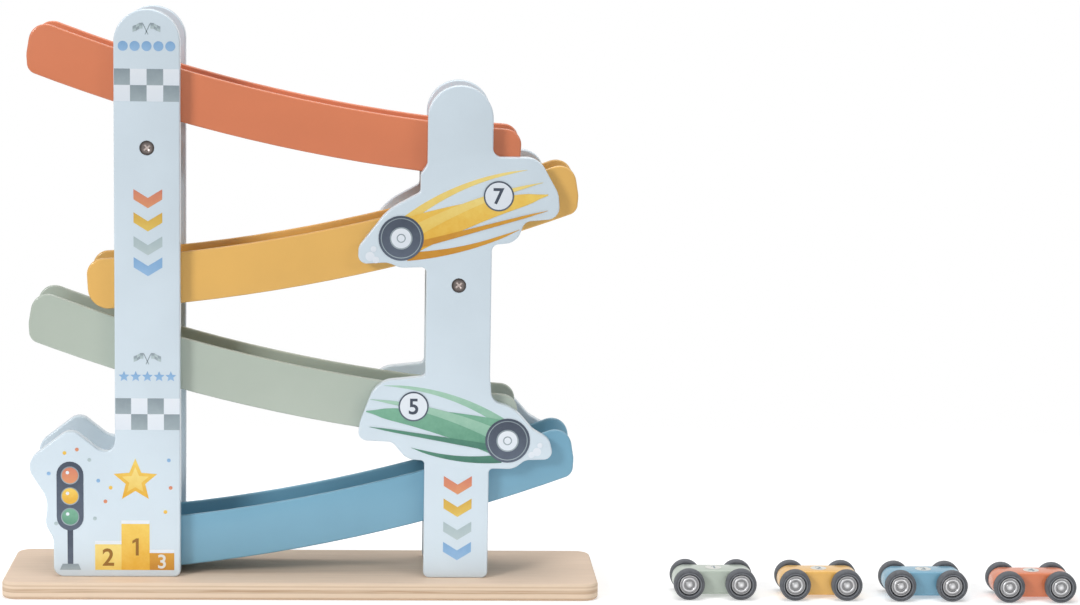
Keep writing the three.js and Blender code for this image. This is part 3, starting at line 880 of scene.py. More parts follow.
def turned(profile, centre):
    """A piece turned about an axis along Y from points (radius, place along the axis, painted light)."""
    bm = bmesh.new()
    # Painted light of each point of a turned piece: shade when low, highlight when high
    layer = bm.verts.layers.float.new("wash")
    verts = [bm.verts.new((radius, along, 0)) for radius, along, wash in profile]
    for vert, (radius, along, wash) in zip(verts, profile):
        vert[layer] = wash
    edges = [bm.edges.new(pair) for pair in zip(verts, verts[1:])]
    bmesh.ops.spin(
        bm, geom=verts + edges, cent=(0, 0, 0), axis=(0, 1, 0), dvec=(0, 0, 0), angle=math.tau,
        steps=cars().turns, use_merge=True, use_duplicate=False,
    )
    bmesh.ops.remove_doubles(bm, verts=bm.verts, dist=MERGE)
    bmesh.ops.translate(bm, verts=bm.verts, vec=centre)
    return bm


def piece(bm, name, materials, body, flat_axis=None):
    """Turns a bmesh into an object that rides on a body; faces along flat_axis are shaded flat."""
    bmesh.ops.recalc_face_normals(bm, faces=bm.faces)
    for face in bm.faces:
        face.smooth = flat_axis is None or abs(face.normal.dot(flat_axis)) < LEVEL
    mesh = bpy.data.meshes.new(name)
    bm.to_mesh(mesh)
    bm.free()
    mesh.set_sharp_from_angle(angle=SHARP)
    for key in materials:
        mesh.materials.append(material(key))
    made = bpy.data.objects.new(name, mesh)
    bpy.context.scene.collection.objects.link(made)
    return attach(made, body)


def stand_in(bm, node, slot, body, flat_axis=None):
    """A piece that is shown instead of a CAD node and takes its finish from the node's slot."""
    made = piece(bm, node + "_look", [slot], body, flat_axis)
    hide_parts(node)
    return made


# Track geometry

def arc_centre():
    """X and height of the middle of the tracks' arc, over the lower low corner of a wall."""
    s = sizes()
    return (
        s.low_reach + s.track_radius * math.sin(s.low_slope), s.track_radius * math.cos(s.low_slope)
    )


def arc_height(x, rise):
    """Height of a track at one place, that far over the walls' lower edge."""
    s = sizes()
    middle, top = arc_centre()
    radius = s.track_radius - rise
    return top - math.sqrt(radius * radius - (middle - x) ** 2)


def level_height(level):
    """Height of the lower low corner of a track's walls."""
    s = sizes()
    base_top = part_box("base_board")[1].z
    start = s.low_reach - s.low_foot_radius
    pitch = arc_height(-start, s.wall_height) - arc_height(start, 0) + s.level_gap
    return base_top + s.seat_gap + level * pitch


def facing(level):
    """Side of the ramp on which a track's low end lies."""
    return -1 if level % 2 == 0 else 1


def track_at_tower(level, side, rise):
    """Height of a track on the centre line of a tower."""
    return level_height(level) + arc_height(side * facing(level) * sizes().tower_spacing / 2, rise)


def track_point(run, rise, depth):
    """A point from its place along a track's arc, its height over the lower edge and its depth."""
    middle, top = arc_centre()
    radius = sizes().track_radius - rise
    turn = run / sizes().track_radius
    return Vector((middle + radius * math.sin(turn), depth, top - radius * math.cos(turn)))


def runs():
    """Places of the high and the low end along a track."""
    s = sizes()
    return (
        -s.track_radius * math.asin((arc_centre()[0] + s.high_reach) / s.track_radius),
        -s.track_radius * s.low_slope,
    )


def clear_sections(bm, corner, reach):
    """Takes out the sections of a strip that would stand inside the rounding of a corner."""
    def centre(edge):
        return (edge.verts[0].co + edge.verts[1].co) / 2

    inside = [
        edge for edge in bm.edges
        if edge != corner
        and abs((edge.verts[1].co - edge.verts[0].co).normalized().y) > FLAT
        and (centre(edge) - centre(corner)).length < reach + SECTION_ROOM
    ]
    bmesh.ops.dissolve_edges(bm, edges=inside, use_verts=True)


def track_strip(level, outline, depth, ease, steps):
    """A strip that follows the tracks' arc, between two depths. Its outline is corners (run, rise,
    radius): the foot and the top of its low end, then its high end from the top down to the foot."""
    s = sizes()
    middle, top = arc_centre()
    low_run = outline[0][0]
    bm = bmesh.new()
    rows = [
        [bm.verts.new(track_point(run, rise, across)) for across in depth]
        for run, rise, radius in outline[2:]
    ]
    ring = [near for near, far in rows] + [far for near, far in reversed(rows)]
    edges = [bm.edges.new((vert, ring[index - 1])) for index, vert in enumerate(ring)]
    reach = low_run - min(run for run, rise, radius in outline)
    bmesh.ops.spin(
        bm, geom=ring + edges, cent=(middle, 0, top), axis=(0, -1, 0), dvec=(0, 0, 0),
        angle=reach / s.track_radius, steps=steps, use_duplicate=False,
    )
    for (near, far), (next_near, next_far) in zip(rows, rows[1:]):
        bm.faces.new((near, far, next_far, next_near))
    turn = low_run / s.track_radius
    bmesh.ops.bisect_plane(
        bm, geom=bm.verts[:] + bm.edges[:] + bm.faces[:], dist=MERGE, clear_outer=True,
        plane_co=track_point(low_run, 0, 0), plane_no=(math.cos(turn), 0, math.sin(turn)),
    )
    bmesh.ops.holes_fill(bm, edges=bm.edges, sides=0)
    bmesh.ops.recalc_face_normals(bm, faces=bm.faces)
    bmesh.ops.dissolve_limit(bm, angle_limit=STRAIGHT, verts=bm.verts[:], edges=bm.edges[:])
    rounded = [
        ([track_point(run, rise, across) for across in depth], radius, corner_turn(outline, index))
        for index, (run, rise, radius) in enumerate(outline) if radius > 0
    ]
    for ends, radius, bend in rounded:
        clear_sections(bm, edge_at(bm, *ends), radius * math.tan(bend / 2))
    for ends, radius, bend in rounded:
        round_corner(bm, edge_at(bm, *ends), radius, bend)
    bevel(bm, rim_edges(bm, Y_AXIS), ease, EASE_STEPS)
    if facing(level) < 0:
        about = Matrix.Rotation(math.pi, 3, "Z")
        bmesh.ops.rotate(bm, cent=(0, 0, 0), matrix=about, verts=bm.verts)
    bmesh.ops.translate(bm, verts=bm.verts, vec=(0, 0, level_height(level)))
    return bm


# Tower geometry

def box_middle(node):
    """The middle of a node's box, which lies on the axis of a screw or an axle."""
    low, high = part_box(node)
    return (low + high) / 2


def towers():
    """Name, side of the ramp, height of the top and boards (datum, corners) of the two towers."""
    s = sizes()
    top = len(TRACK_COLOURS) - 1
    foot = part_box("base_board")[1].z
    lower, upper = track_at_tower(top - 2, 1, 0), track_at_tower(top - 1, 1, 0)
    return (
        ("left", -1, track_at_tower(top, -1, s.wall_height) + s.left_crown,
         ((foot, FINISH_BOARD),), ((foot, PLAIN_FOOT),)),
        ("right", 1, track_at_tower(top, 1, s.wall_height) + s.right_crown,
         ((foot, PLAIN_FOOT), (lower, LOWER_BOARD_INNER), (upper, UPPER_BOARD_INNER)),
         ((foot, PLAIN_FOOT), (lower, LOWER_BOARD_OUTER), (upper, UPPER_BOARD_OUTER))),
    )


def side_corners(edge, out, boards):
    """Corners of one side of a panel from the foot up; its boards stand out to the side given by out."""
    return [
        (edge + out * distance * MM, datum + height * MM, radius * MM)
        for datum, corners in boards for distance, height, radius in corners
    ]


def panel_corners(side, top, left_boards, right_boards):
    """Corners of a tower's panel, up its right side, over its crown and down its left side."""
    s = sizes()
    line, half = side * s.tower_spacing / 2, s.tower_width / 2
    crown = half - CROWN_FLAT
    return (
        side_corners(line + half, 1, right_boards)
        + [(line + half, top, crown), (line - half, top, crown)]
        + side_corners(line - half, -1, left_boards)[::-1]
    )


class RAMP_OT_base(bpy.types.Operator):
    """Builds the plywood base board"""

    bl_idname = "ramp.build_base"
    bl_label = "Base board"

    def execute(self, context):
        s = sizes()
        low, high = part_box("base_board")
        corners = box_corners(low.x, low.y, high.x, high.y, s.base_corner)
        bm = rounded_board(corners, low.z, high.z, s.base_ease, "Z")
        heads = [
            box_middle(f"{name}_tower_{face}_foot_screw")
            for name in TOWER_NAMES for face, side in FACES
        ]
        stand_in(drilled(bm, Z_AXIS, heads), "base_board", "base", RAMP_BODY, Z_AXIS)
        return {"FINISHED"}


class RAMP_OT_towers(bpy.types.Operator):
    """Builds the panels of both towers and the spacers between them"""

    bl_idname = "ramp.build_towers"
    bl_label = "Towers"

    def execute(self, context):
        s = sizes()
        for name, *outline in towers():
            corners = panel_corners(*outline)
            for face, out in FACES:
                node = f"{name}_tower_{face}_panel"
                low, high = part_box(node)
                bm = rounded_board(corners, low.y, high.y, s.panel_ease, "Y")
                drilled(bm, Y_AXIS * -out, [box_middle(f"{name}_tower_{face}_screw")])
                stand_in(bm, node, "panel", RAMP_BODY, Y_AXIS)
            node = name + "_tower_spacer"
            radius, half, centre = turned_size(*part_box(node))
            ease = s.spacer_ease
            side = [(radius, half - ease, 0), (radius - ease, half, 0), (0, half, 0)]
            stand_in(turned(mirror(side) + side, centre), node, "wood", RAMP_BODY, Y_AXIS)
        return {"FINISHED"}


class RAMP_OT_tracks(bpy.types.Operator):
    """Builds the walls, floor and end stop of each track"""

    bl_idname = "ramp.build_tracks"
    bl_label = "Tracks"

    def execute(self, context):
        s = sizes()
        high_run, low_run = runs()
        half = s.track_width / 2
        inner = half - s.wall_thickness - s.seat_gap
        floor_top = s.floor_rise + s.floor_thickness
        wall = (
            (low_run, 0, s.low_foot_round),
            (low_run, s.wall_height, s.low_top_radius),
            (high_run - s.high_overhang, s.wall_height, s.high_top_radius),
            (high_run - s.high_bulge, s.high_bulge_rise, s.high_bulge_radius),
            (high_run, 0, s.high_foot_radius),
        )
        start = high_run + s.high_foot_radius
        foot = floor_top + s.seat_gap
        crest = foot + s.stop_height
        stop = (
            (start + s.stop_thickness, foot, 0), (start + s.stop_thickness, crest, s.stop_radius),
            (start, crest, s.stop_radius), (start, foot, 0),
        )
        for level, colour in enumerate(TRACK_COLOURS):
            for face, side in FACES:
                outer = side * facing(level) * half
                depth = sorted((outer, outer - side * facing(level) * s.wall_thickness))
                bm = track_strip(level, wall, depth, s.wall_ease, s.wall_steps)
                stand_in(bm, f"{colour}_track_{face}_wall", colour, RAMP_BODY, Y_AXIS)
            end = low_run - (s.last_inset if level == 0 else s.drop_length)
            floor = (
                (end, s.floor_rise, 0), (end, floor_top, 0),
                (start, floor_top, 0), (start, s.floor_rise, 0),
            )
            bm = track_strip(level, floor, (-inner, inner), s.small_ease / 2, s.wall_steps)
            stand_in(bm, colour + "_track_floor", colour, RAMP_BODY, Y_AXIS)
            bm = track_strip(level, stop, (-inner, inner), s.small_ease, 1)
            stand_in(bm, colour + "_track_stop", colour, RAMP_BODY, Y_AXIS)
        return {"FINISHED"}


class RAMP_OT_screws(bpy.types.Operator):
    """Builds the screws in the panels and under the base"""

    bl_idname = "ramp.build_screws"
    bl_label = "Screws"

    def execute(self, context):
        for name in TOWER_NAMES:
            for face, side in FACES:
                for kind in ("screw", "foot_screw"):
                    node = f"{name}_tower_{face}_{kind}"
                    low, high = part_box(node)
                    head, size = box_middle(node), high.y - low.y
                    if kind == "foot_screw":
                        head.z, size = low.z, high.z - low.z
                        turn = Matrix.Rotation(math.pi / 2, 3, "X")
                    elif side < 0:
                        head.y, turn = low.y, Matrix.Identity(3)
                    else:
                        head.y, turn = high.y, Matrix.Rotation(math.pi, 3, "Z")
                    stand_in(self.screw(size, head, turn), node, "screw", RAMP_BODY)
        return {"FINISHED"}

    def screw(self, size, head, turn):
        """A countersunk screw whose head lies at the origin of its Y axis, then turned and moved."""
        c = cars()
        bm = bmesh.new()
        # Painted light of each point of the screw: highlight round the cross and on its floor
        layer = bm.verts.layers.float.new("wash")
        ring = bmesh.ops.create_circle(
            bm, cap_ends=False, segments=c.turns, radius=c.screw_radius,
            matrix=Matrix.Rotation(math.pi / 2, 4, "X"),
        )["verts"]
        arm, width = c.recess_arm, c.recess_width
        cross = []
        for step in range(4):
            swing = Matrix.Rotation(step * math.pi / 2 + c.recess_turn, 2)
            for corner in ((width, width), (width, arm), (-width, arm)):
                spot = swing @ Vector(corner)
                cross.append(bm.verts.new((spot.x, 0, spot.y)))
                # Painted highlight round the cross
                cross[-1][layer] = CROSS_HIGHLIGHT
        cross_edges = [bm.edges.new(pair) for pair in zip(cross, cross[1:] + cross[:1])]
        ring_edges = [edge for edge in bm.edges if all(vert in ring for vert in edge.verts)]
        bmesh.ops.triangle_fill(bm, edges=cross_edges + ring_edges, use_beauty=True)

        def deepen(edges, depth, shrink):
            return sunk(bm, edges, Y_AXIS * depth, Vector(), shrink)

        # Painted highlight on the floor of the cross
        for edge in deepen(cross_edges, c.recess_depth, CROSS_TAPER):
            for vert in edge.verts:
                vert[layer] = CROSS_FLOOR_HIGHLIGHT
        rim = deepen(ring_edges, c.screw_head * SCREW_EDGE, 1.0)
        neck = deepen(rim, c.screw_head * (1 - SCREW_EDGE), c.screw_shank / c.screw_radius)
        tip = deepen(neck, size - c.screw_head - c.screw_tip, 1.0)
        deepen(tip, c.screw_tip, TIP_TAPER)
        bmesh.ops.holes_fill(bm, edges=bm.edges, sides=0)
        bmesh.ops.rotate(bm, cent=(0, 0, 0), matrix=turn, verts=bm.verts)
        bmesh.ops.translate(bm, verts=bm.verts, vec=head)
        return bm


class RAMP_OT_cars(bpy.types.Operator):
    """Builds the body, wheels and number disc of each car"""

    bl_idname = "ramp.build_cars"
    bl_label = "Cars"

    def execute(self, context):
        c = cars()
        for number, colour in enumerate(CAR_COLOURS, 1):
            body = colour + "_car"
            node = body + "_body"
            low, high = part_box(node)
            corners = box_corners(low.x, low.z, high.x, high.z, c.body_end_radius)
            bm = rounded_board(corners, low.y, high.y, c.body_ease, "Y")
            axles = [box_middle(f"{body}_{end}_axle") for end in CAR_ENDS]
            bored(bm, Y_AXIS, axles, c.axle_radius + c.axle_clear)
            stand_in(bm, node, colour, body, Y_AXIS)
            self.disc(number, body, Vector(((low.x + high.x) / 2, (low.y + high.y) / 2, high.z)))
            for end in CAR_ENDS:
                wheels = f"{body}_{end}_wheels"
                node = f"{body}_{end}_axle"
                hub = turned_size(*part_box(node))
                stand_in(self.axle(*hub), node, "hub", wheels)
                for face, side in FACES:
                    node = f"{body}_{end}_{face}_tyre"
                    stand_in(self.tyre(*turned_size(*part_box(node)), hub[0]), node, "tyre", wheels)
        return {"FINISHED"}

    def axle(self, radius, half, centre):
        """An axle with a hub on each end: a rim, a dished ring, a raised bead and a domed end, painted
        darker as shade in the ring and the well and lighter as highlight on the rim, the bead and the
        dome's top.
        """
        c = cars()
        dome, back, dish = c.axle_end_radius, half - c.hub_depth, half - c.hub_dish
        well = dish - c.hub_well
        bead, swell, foot = (radius * share for share in (HUB_BEAD, HUB_SWELL, HUB_FOOT))
        ease = c.hub_ease
        # Each point's third value is its painted light: shade when low, highlight when high
        side = [(c.axle_radius, back, 0), (radius - ease, back, 0), (radius, back + ease, 0)]
        side += [(radius - inset * MM, half - depth * MM, wash) for inset, depth, wash in HUB_RIM]
        side += [(radius * HUB_RING, dish + ease / 2, RING_SHADE), (bead + foot, dish, RING_SHADE)]
        for turn in sweep(math.pi, ARC_STEPS):
            side.append((bead + swell * math.cos(turn), dish + swell * math.sin(turn), BEAD_HIGHLIGHT))
        side += [(bead - foot, well, 0), (dome * DOME_GAP, well, 0)]
        # Painted shade on the dome's sides and a painted highlight on its top
        for step, turn in enumerate(sweep(math.pi / 2, ARC_STEPS)):
            wash = max(DOME_SHADE, (step - DOME_SHADED_STEPS) / (ARC_STEPS - DOME_SHADED_STEPS))
            side.append((dome * math.cos(turn), well + (half - well) * math.sin(turn), wash))
        return turned(mirror(side) + side, centre)

    def tyre(self, radius, half, centre, hub_radius):
        """A tyre with a gap round its hub, a raised lip beside it and rounded shoulders, painted lighter
        as highlight on the lip's crest and the shoulders.
        """
        c = cars()
        bore = hub_radius + c.tyre_clear
        lip = bore + c.tyre_lip
        side = [(bore + out * MM, half - depth * MM, 0) for out, depth in TYRE_GAP]
        for turn in sweep(math.pi, LIP_STEPS):
            rise = math.sin(turn)
            # Painted highlight on the crest of the lip
            side.append((lip - c.lip_width * math.cos(turn), half - c.lip_rise * (1 - rise), rise))
        side.append((lip + c.lip_foot, half - c.tyre_groove, 0))
        for turn in sweep(math.pi / 2, ARC_STEPS):
            reach, drop = (c.tyre_shoulder * (1 - part(turn)) for part in (math.sin, math.cos))
            # Painted highlight on the shoulder
            side.append((radius - reach, half - drop, SHOULDER_HIGHLIGHT * math.sin(turn)))
        return turned(side + mirror(side) + side[:1], centre)

    def disc(self, number, body, top):
        """A cream disc with a plain number, printed on the top of a car."""
        c, film = cars(), prints().film
        bm = bmesh.new()
        made = bmesh.ops.create_circle(
            bm, cap_ends=True, segments=c.turns, radius=c.disc_radius,
            matrix=Matrix.Translation(top + Z_AXIS * film * LAYER_GAP),
        )
        extruded(bm, made["verts"][0].link_faces[0], Z_AXIS * film)
        piece(bm, body + "_disc", ["ink_cream"], body, Z_AXIS)
        bm = digit_mesh(str(number), c.number_height, film)
        bmesh.ops.translate(bm, verts=bm.verts, vec=top + Z_AXIS * film * (LAYER_GAP + LAYER_STEP))
        piece(bm, body + "_number", ["ink_slate"], body, Z_AXIS)


# Prints

def number_one(height, film):
    """A plain number one with a flag, in the XY plane."""
    bm = bmesh.new()
    verts = [bm.verts.new((x * height, y * height, -film / 2)) for x, y in NUMBER_ONE]
    extruded(bm, bm.faces.new(verts), Z_AXIS * film)
    return bm


def typed(text, height, film):
    """A plain number in Blender's own typeface, in the XY plane."""
    curve = bpy.data.curves.new("digit", "FONT")
    curve.body = text
    curve.size = height * TYPE_SIZE
    curve.offset = height * TYPE_BOLD
    curve.extrude = film / 2
    holder = bpy.data.objects.new("digit", curve)
    bpy.context.scene.collection.objects.link(holder)
    bpy.context.view_layer.update()
    shown = holder.evaluated_get(bpy.context.evaluated_depsgraph_get())
    mesh = bpy.data.meshes.new_from_object(shown)
    bm = bmesh.new()
    bm.from_mesh(mesh)
    bmesh.ops.remove_doubles(bm, verts=bm.verts, dist=MERGE)
    bmesh.ops.dissolve_degenerate(bm, dist=MERGE, edges=bm.edges)
    bpy.data.objects.remove(holder)
    bpy.data.curves.remove(curve)
    bpy.data.meshes.remove(mesh)
    return bm


def digit_mesh(text, height, film):
    """A plain number in the XY plane, centred on the origin, with the thickness of a print."""
    bm = number_one(height, film) if text == "1" else typed(text, height, film)
    across = [vert.co.x for vert in bm.verts]
    up = [vert.co.y for vert in bm.verts]
    centre = Vector((min(across) + max(across), min(up) + max(up), 0)) / 2
    bmesh.ops.translate(bm, verts=bm.verts, vec=-centre)
    return bm


class Sheet:
    """Collects the shapes of one print on the front of the panels, layer by layer."""

    def __init__(self, name):
        self.name = name
        self.bm = bmesh.new()
        self.wash = self.bm.verts.layers.float.new("wash")
        self.inks = []
        self.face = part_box("left_tower_front_panel")[0].y

    def _ink(self, ink):
        """Number of an ink among those of this print."""
        if ink not in self.inks:
            self.inks.append(ink)
        return self.inks.index(ink)

    def depth(self, layer):
        """Depth of the back of a layer."""
        return self.face - prints().film * (LAYER_GAP + LAYER_STEP * layer)

    def shape(self, ink, points, layer=0):
        """A flat shape from points (x, z) in metres."""
        known = set(self.bm.faces)
        depth = self.depth(layer)
        outline = self.bm.faces.new([self.bm.verts.new((x, depth, z)) for x, z in points])
        made = bmesh.ops.extrude_face_region(self.bm, geom=[outline])["geom"]
        moved = [item for item in made if isinstance(item, bmesh.types.BMVert)]
        bmesh.ops.translate(self.bm, verts=moved, vec=(0, -prints().film, 0))
        low, high = min(z for x, z in points), max(z for x, z in points)
        for vert in moved + list(outline.verts):
            vert[self.wash] = (high - vert.co.z) / (high - low)
        index = self._ink(ink)
        for face in self.bm.faces:
            if face not in known:
                face.material_index = index

    def block(self, ink, left, foot, right, top, layer=0):
        """A rectangle."""
        self.shape(ink, [(x, z) for x, z, radius in box_corners(left, foot, right, top)], layer)

    def disc(self, ink, x, z, radius, layer=0, sides=DISC_SIDES):
        """A disc."""
        turns = sweep(math.tau, sides)[:-1]
        self.shape(ink, [(x + radius * math.cos(t), z + radius * math.sin(t)) for t in turns], layer)

    def lozenge(self, ink, x, z, half_width, half_height, layer=0, steps=12):
        """An upright strip with round ends."""
        spots = []
        for end, start in ((1, 0), (-1, math.pi)):
            centre = z + end * (half_height - half_width)
            for turn in sweep(math.pi, steps):
                spots.append((x + half_width * math.cos(turn + start),
                              centre + half_width * math.sin(turn + start)))
        self.shape(ink, spots, layer)

    def star(self, ink, x, z, radius, layer=0, points=5):
        """A star with one point up."""
        spots = []
        for i, turn in enumerate(sweep(math.tau, 2 * points)[:-1]):
            reach = radius if i % 2 == 0 else radius * STAR_WAIST
            spots.append((x - reach * math.sin(turn), z + reach * math.cos(turn)))
        self.shape(ink, spots, layer)

    def streak(self, ink, start, end, wide, narrow, bend, layer=0, steps=16):
        """A tapered stripe from one point to another, bowed sideways by bend."""
        start, end = Vector(start), Vector(end)
        along = end - start
        out = Vector((-along.y, along.x)).normalized()
        left, right = [], []
        for i in range(steps + 1):
            t = i / steps
            spot = start + along * t + out * bend * 4 * t * (1 - t)
            half = (wide + (narrow - wide) * t) / 2 * min(1, STRIPE_CLOSE * (1 - t) + STRIPE_END)
            left.append(tuple(spot + out * half))
            right.append(tuple(spot - out * half))
        self.shape(ink, left + right[::-1], layer)

    def digit(self, ink, text, x, z, height, layer=0):
        """A plain number, centred on a place."""
        bm = digit_mesh(text, height, prints().film)
        upright = Matrix.Rotation(math.pi / 2, 3, "X")
        bmesh.ops.rotate(bm, cent=(0, 0, 0), matrix=upright, verts=bm.verts)
        place = (x, self.depth(layer) - prints().film / 2, z)
        bmesh.ops.translate(bm, verts=bm.verts, vec=place)
        index = self._ink(ink)
        for face in bm.faces:
            face.material_index = index
        mesh = bpy.data.meshes.new("digit")
        bm.to_mesh(mesh)
        bm.free()
        self.bm.from_mesh(mesh)
        bpy.data.meshes.remove(mesh)

    def done(self):
        """Makes the print a piece of the ramp."""
        return piece(self.bm, self.name, self.inks, RAMP_BODY, Y_AXIS)


class RAMP_OT_prints(bpy.types.Operator):
    """Builds the prints on the front of both towers"""

    bl_idname = "ramp.build_prints"
    bl_label = "Prints"

    def execute(self, context):
        p, line = prints(), sizes().tower_spacing / 2
        self.crossed_flags("start_flags_print", -line, p.start_flags)
        self.marks("start_marks_print", -line, p.start_marks, False)
        self.chequer("start_chequer_print", -line, p.start_chequer)
        self.chevrons("left_chevrons_print", -line + p.left_shift, p.left_chevrons)
        self.crossed_flags("finish_flags_print", -line, p.finish_flags)
        self.marks("finish_marks_print", -line, p.finish_marks, True)
        self.chequer("finish_chequer_print", -line, p.finish_chequer)
        self.chevrons("right_chevrons_print", line + p.right_shift, p.right_chevrons)
        self.podium("finish_board_print")
        top = len(TRACK_COLOURS) - 1
        self.rolling_tyre("upper_board_print", line, track_at_tower(top - 1, 1, 0), "7", UPPER_ART)
        self.rolling_tyre("lower_board_print", line, track_at_tower(top - 2, 1, 0), "5", LOWER_ART)
        return {"FINISHED"}

    def chequer(self, name, x, z):
        """A band of squares across a tower, centred on a height."""
        p, s = prints(), sizes()
        sheet = Sheet(name)
        half = s.tower_width / 2
        edge = half - s.panel_ease * CHEQUER_INSET
        pitch = s.tower_width / p.square_columns
        for row in range(p.square_rows):
            top = z + (p.square_rows / 2 - row) * p.square_height
            for column in range(p.square_columns):
                left = max(-edge, -half + column * pitch)
                right = min(edge, -half + (column + 1) * pitch)
                ink = "ink_slate" if (row + column) % 2 == 0 else "ink_white"
                sheet.block(ink, x + left, top - p.square_height, x + right, top)
        sheet.done()

    def chevrons(self, name, x, top):
        """Four chevrons that point down, one in each colour of the tracks."""
        p = prints()
        sheet = Sheet(name)
        half = p.chevron_width / 2
        for ink, drop in CHEVRONS:
            z = top - drop * MM
            foot = z - p.chevron_arm
            sheet.shape(ink, ((x - half, z), (x - half, foot), (x, foot - p.chevron_notch),
                              (x + half, foot), (x + half, z), (x, z - p.chevron_notch)))
        sheet.done()

    def marks(self, name, x, z, stars):
        """A row of five blue marks: dots at the start, stars at the finish."""
        p = prints()
        sheet = Sheet(name)
        for place in MARK_PLACES:
            across = x + place * p.mark_pitch
            if stars:
                sheet.star("ink_blue", across, z, p.mark_radius * STAR_MARK)
            else:
                sheet.disc("ink_blue", across, z, p.mark_radius)
        sheet.done()

    def crossed_flags(self, name, x, z):
        """Two small crossed flags in grey."""
        sheet = Sheet(name)
        for side in (-1, 1):
            foot, head = (
                (x + side * across * MM, z + up * MM) for across, up in (POLE_FOOT, POLE_HEAD)
            )
            sheet.streak("ink_slate", foot, head, POLE_WIDTH * MM, POLE_WIDTH * MM, 0)
            self.flag(sheet, head, side)
        sheet.done()

    def flag(self, sheet, head, side):
        """A waving chequered flag that flies to one side of the head of its pole."""
        def spot(column, row):
            across = column / FLAG_COLUMNS
            wave = math.sin(across * math.pi * FLAG_BENDS) * FLAG_TALL * FLAG_WAVE
            up = wave + across * FLAG_WIDE * FLAG_SAG - row / FLAG_ROWS * FLAG_TALL
            return head[0] + side * across * FLAG_WIDE * MM, head[1] + up * MM

        for row in range(FLAG_ROWS):
            for column in range(FLAG_COLUMNS):
                ink = "ink_slate" if (row + column) % 2 == 0 else "ink_grey"
                corners = ((column, row), (column, row + 1), (column + 1, row + 1), (column + 1, row))
                sheet.shape(ink, [spot(*corner) for corner in corners], 1)

    def podium(self, name):
        """A winners' stand with plain numbers, a star, a start light and confetti."""
        sheet = Sheet(name)
        x = -sizes().tower_spacing / 2
        for left, right, top, ink, text, mark in STAND_BLOCKS:
            a, b = x + left * MM, x + right * MM
            edge = top - STAND_EDGE
            sheet.block(ink, a, STAND_FOOT * MM, b, top * MM)
            sheet.block("ink_white", a, edge * MM, b, top * MM, 1)
            height = min(STAND_NUMBER, top - STAND_FOOT - STAND_ROOM)
            sheet.digit(mark, text, (a + b) / 2, (STAND_FOOT + edge) / 2 * MM, height * MM, 1)
        across, up = STAR_PLACE
        for layer, (ink, radius) in enumerate(STAR_INKS):
            sheet.star(ink, x + across * MM, up * MM, radius * MM, layer)
        for layer, (ink, outline) in enumerate((("ink_dark", LIGHT_POST), ("ink_slate", LIGHT_FOOT))):
            sheet.shape(ink, [(x + across * MM, up * MM) for across, up in outline], layer)
        across, up, wide, tall = (value * MM for value in LIGHT_BOX)
        post = x + across
        sheet.lozenge("ink_dark", post, up, wide, tall, 1)
        shift, lift, glint = LENS_GLINT
        for ink, up in LIGHT_LENSES:
            sheet.disc("ink_slate", post, up * MM, LENS_RING * MM, 2)
            sheet.disc(ink, post, up * MM, LENS_GLASS * MM, 3)
            sheet.disc("ink_white", post + shift * MM, (up + lift) * MM, glint * MM, 4, DOT_SIDES)
        for ink, across, up in CONFETTI:
            sheet.disc(ink, x + across * MM, up * MM, CONFETTI_RADIUS * MM, 0, DOT_SIDES)
        sheet.done()

    def rolling_tyre(self, name, x, z, text, art):
        """A tyre that trails tapered flames, with a plain number in a disc."""
        sheet = Sheet(name)
        over = len(art["flames"])
        for layer, (ink, start, end, wide, narrow, bend) in enumerate(art["flames"]):
            ends = [(x + across * MM, z + up * MM) for across, up in (start, end)]
            sheet.streak(ink, *ends, wide * MM, narrow * MM, bend * MM, layer)
        across, up, radius = (value * MM for value in art["tyre"])
        for layer, (ink, share) in enumerate(TYRE_RINGS, over):
            sheet.disc(ink, x + across, z + up, radius * share, layer)
        across, up, radius = (value * MM for value in art["number"])
        sheet.disc("ink_dark", x + across, z + up, radius, over)
        sheet.disc("ink_white", x + across, z + up, radius * NUMBER_DISC, over + 1)
        sheet.digit("ink_dark", text, x + across, z + up, radius * NUMBER_HEIGHT, over + 2)
        for layer, (across, up, radius) in enumerate(art["puffs"]):
            sheet.disc("ink_white", x + across * MM, z + up * MM, radius * MM, layer, PUFF_SIDES)
        sheet.done()


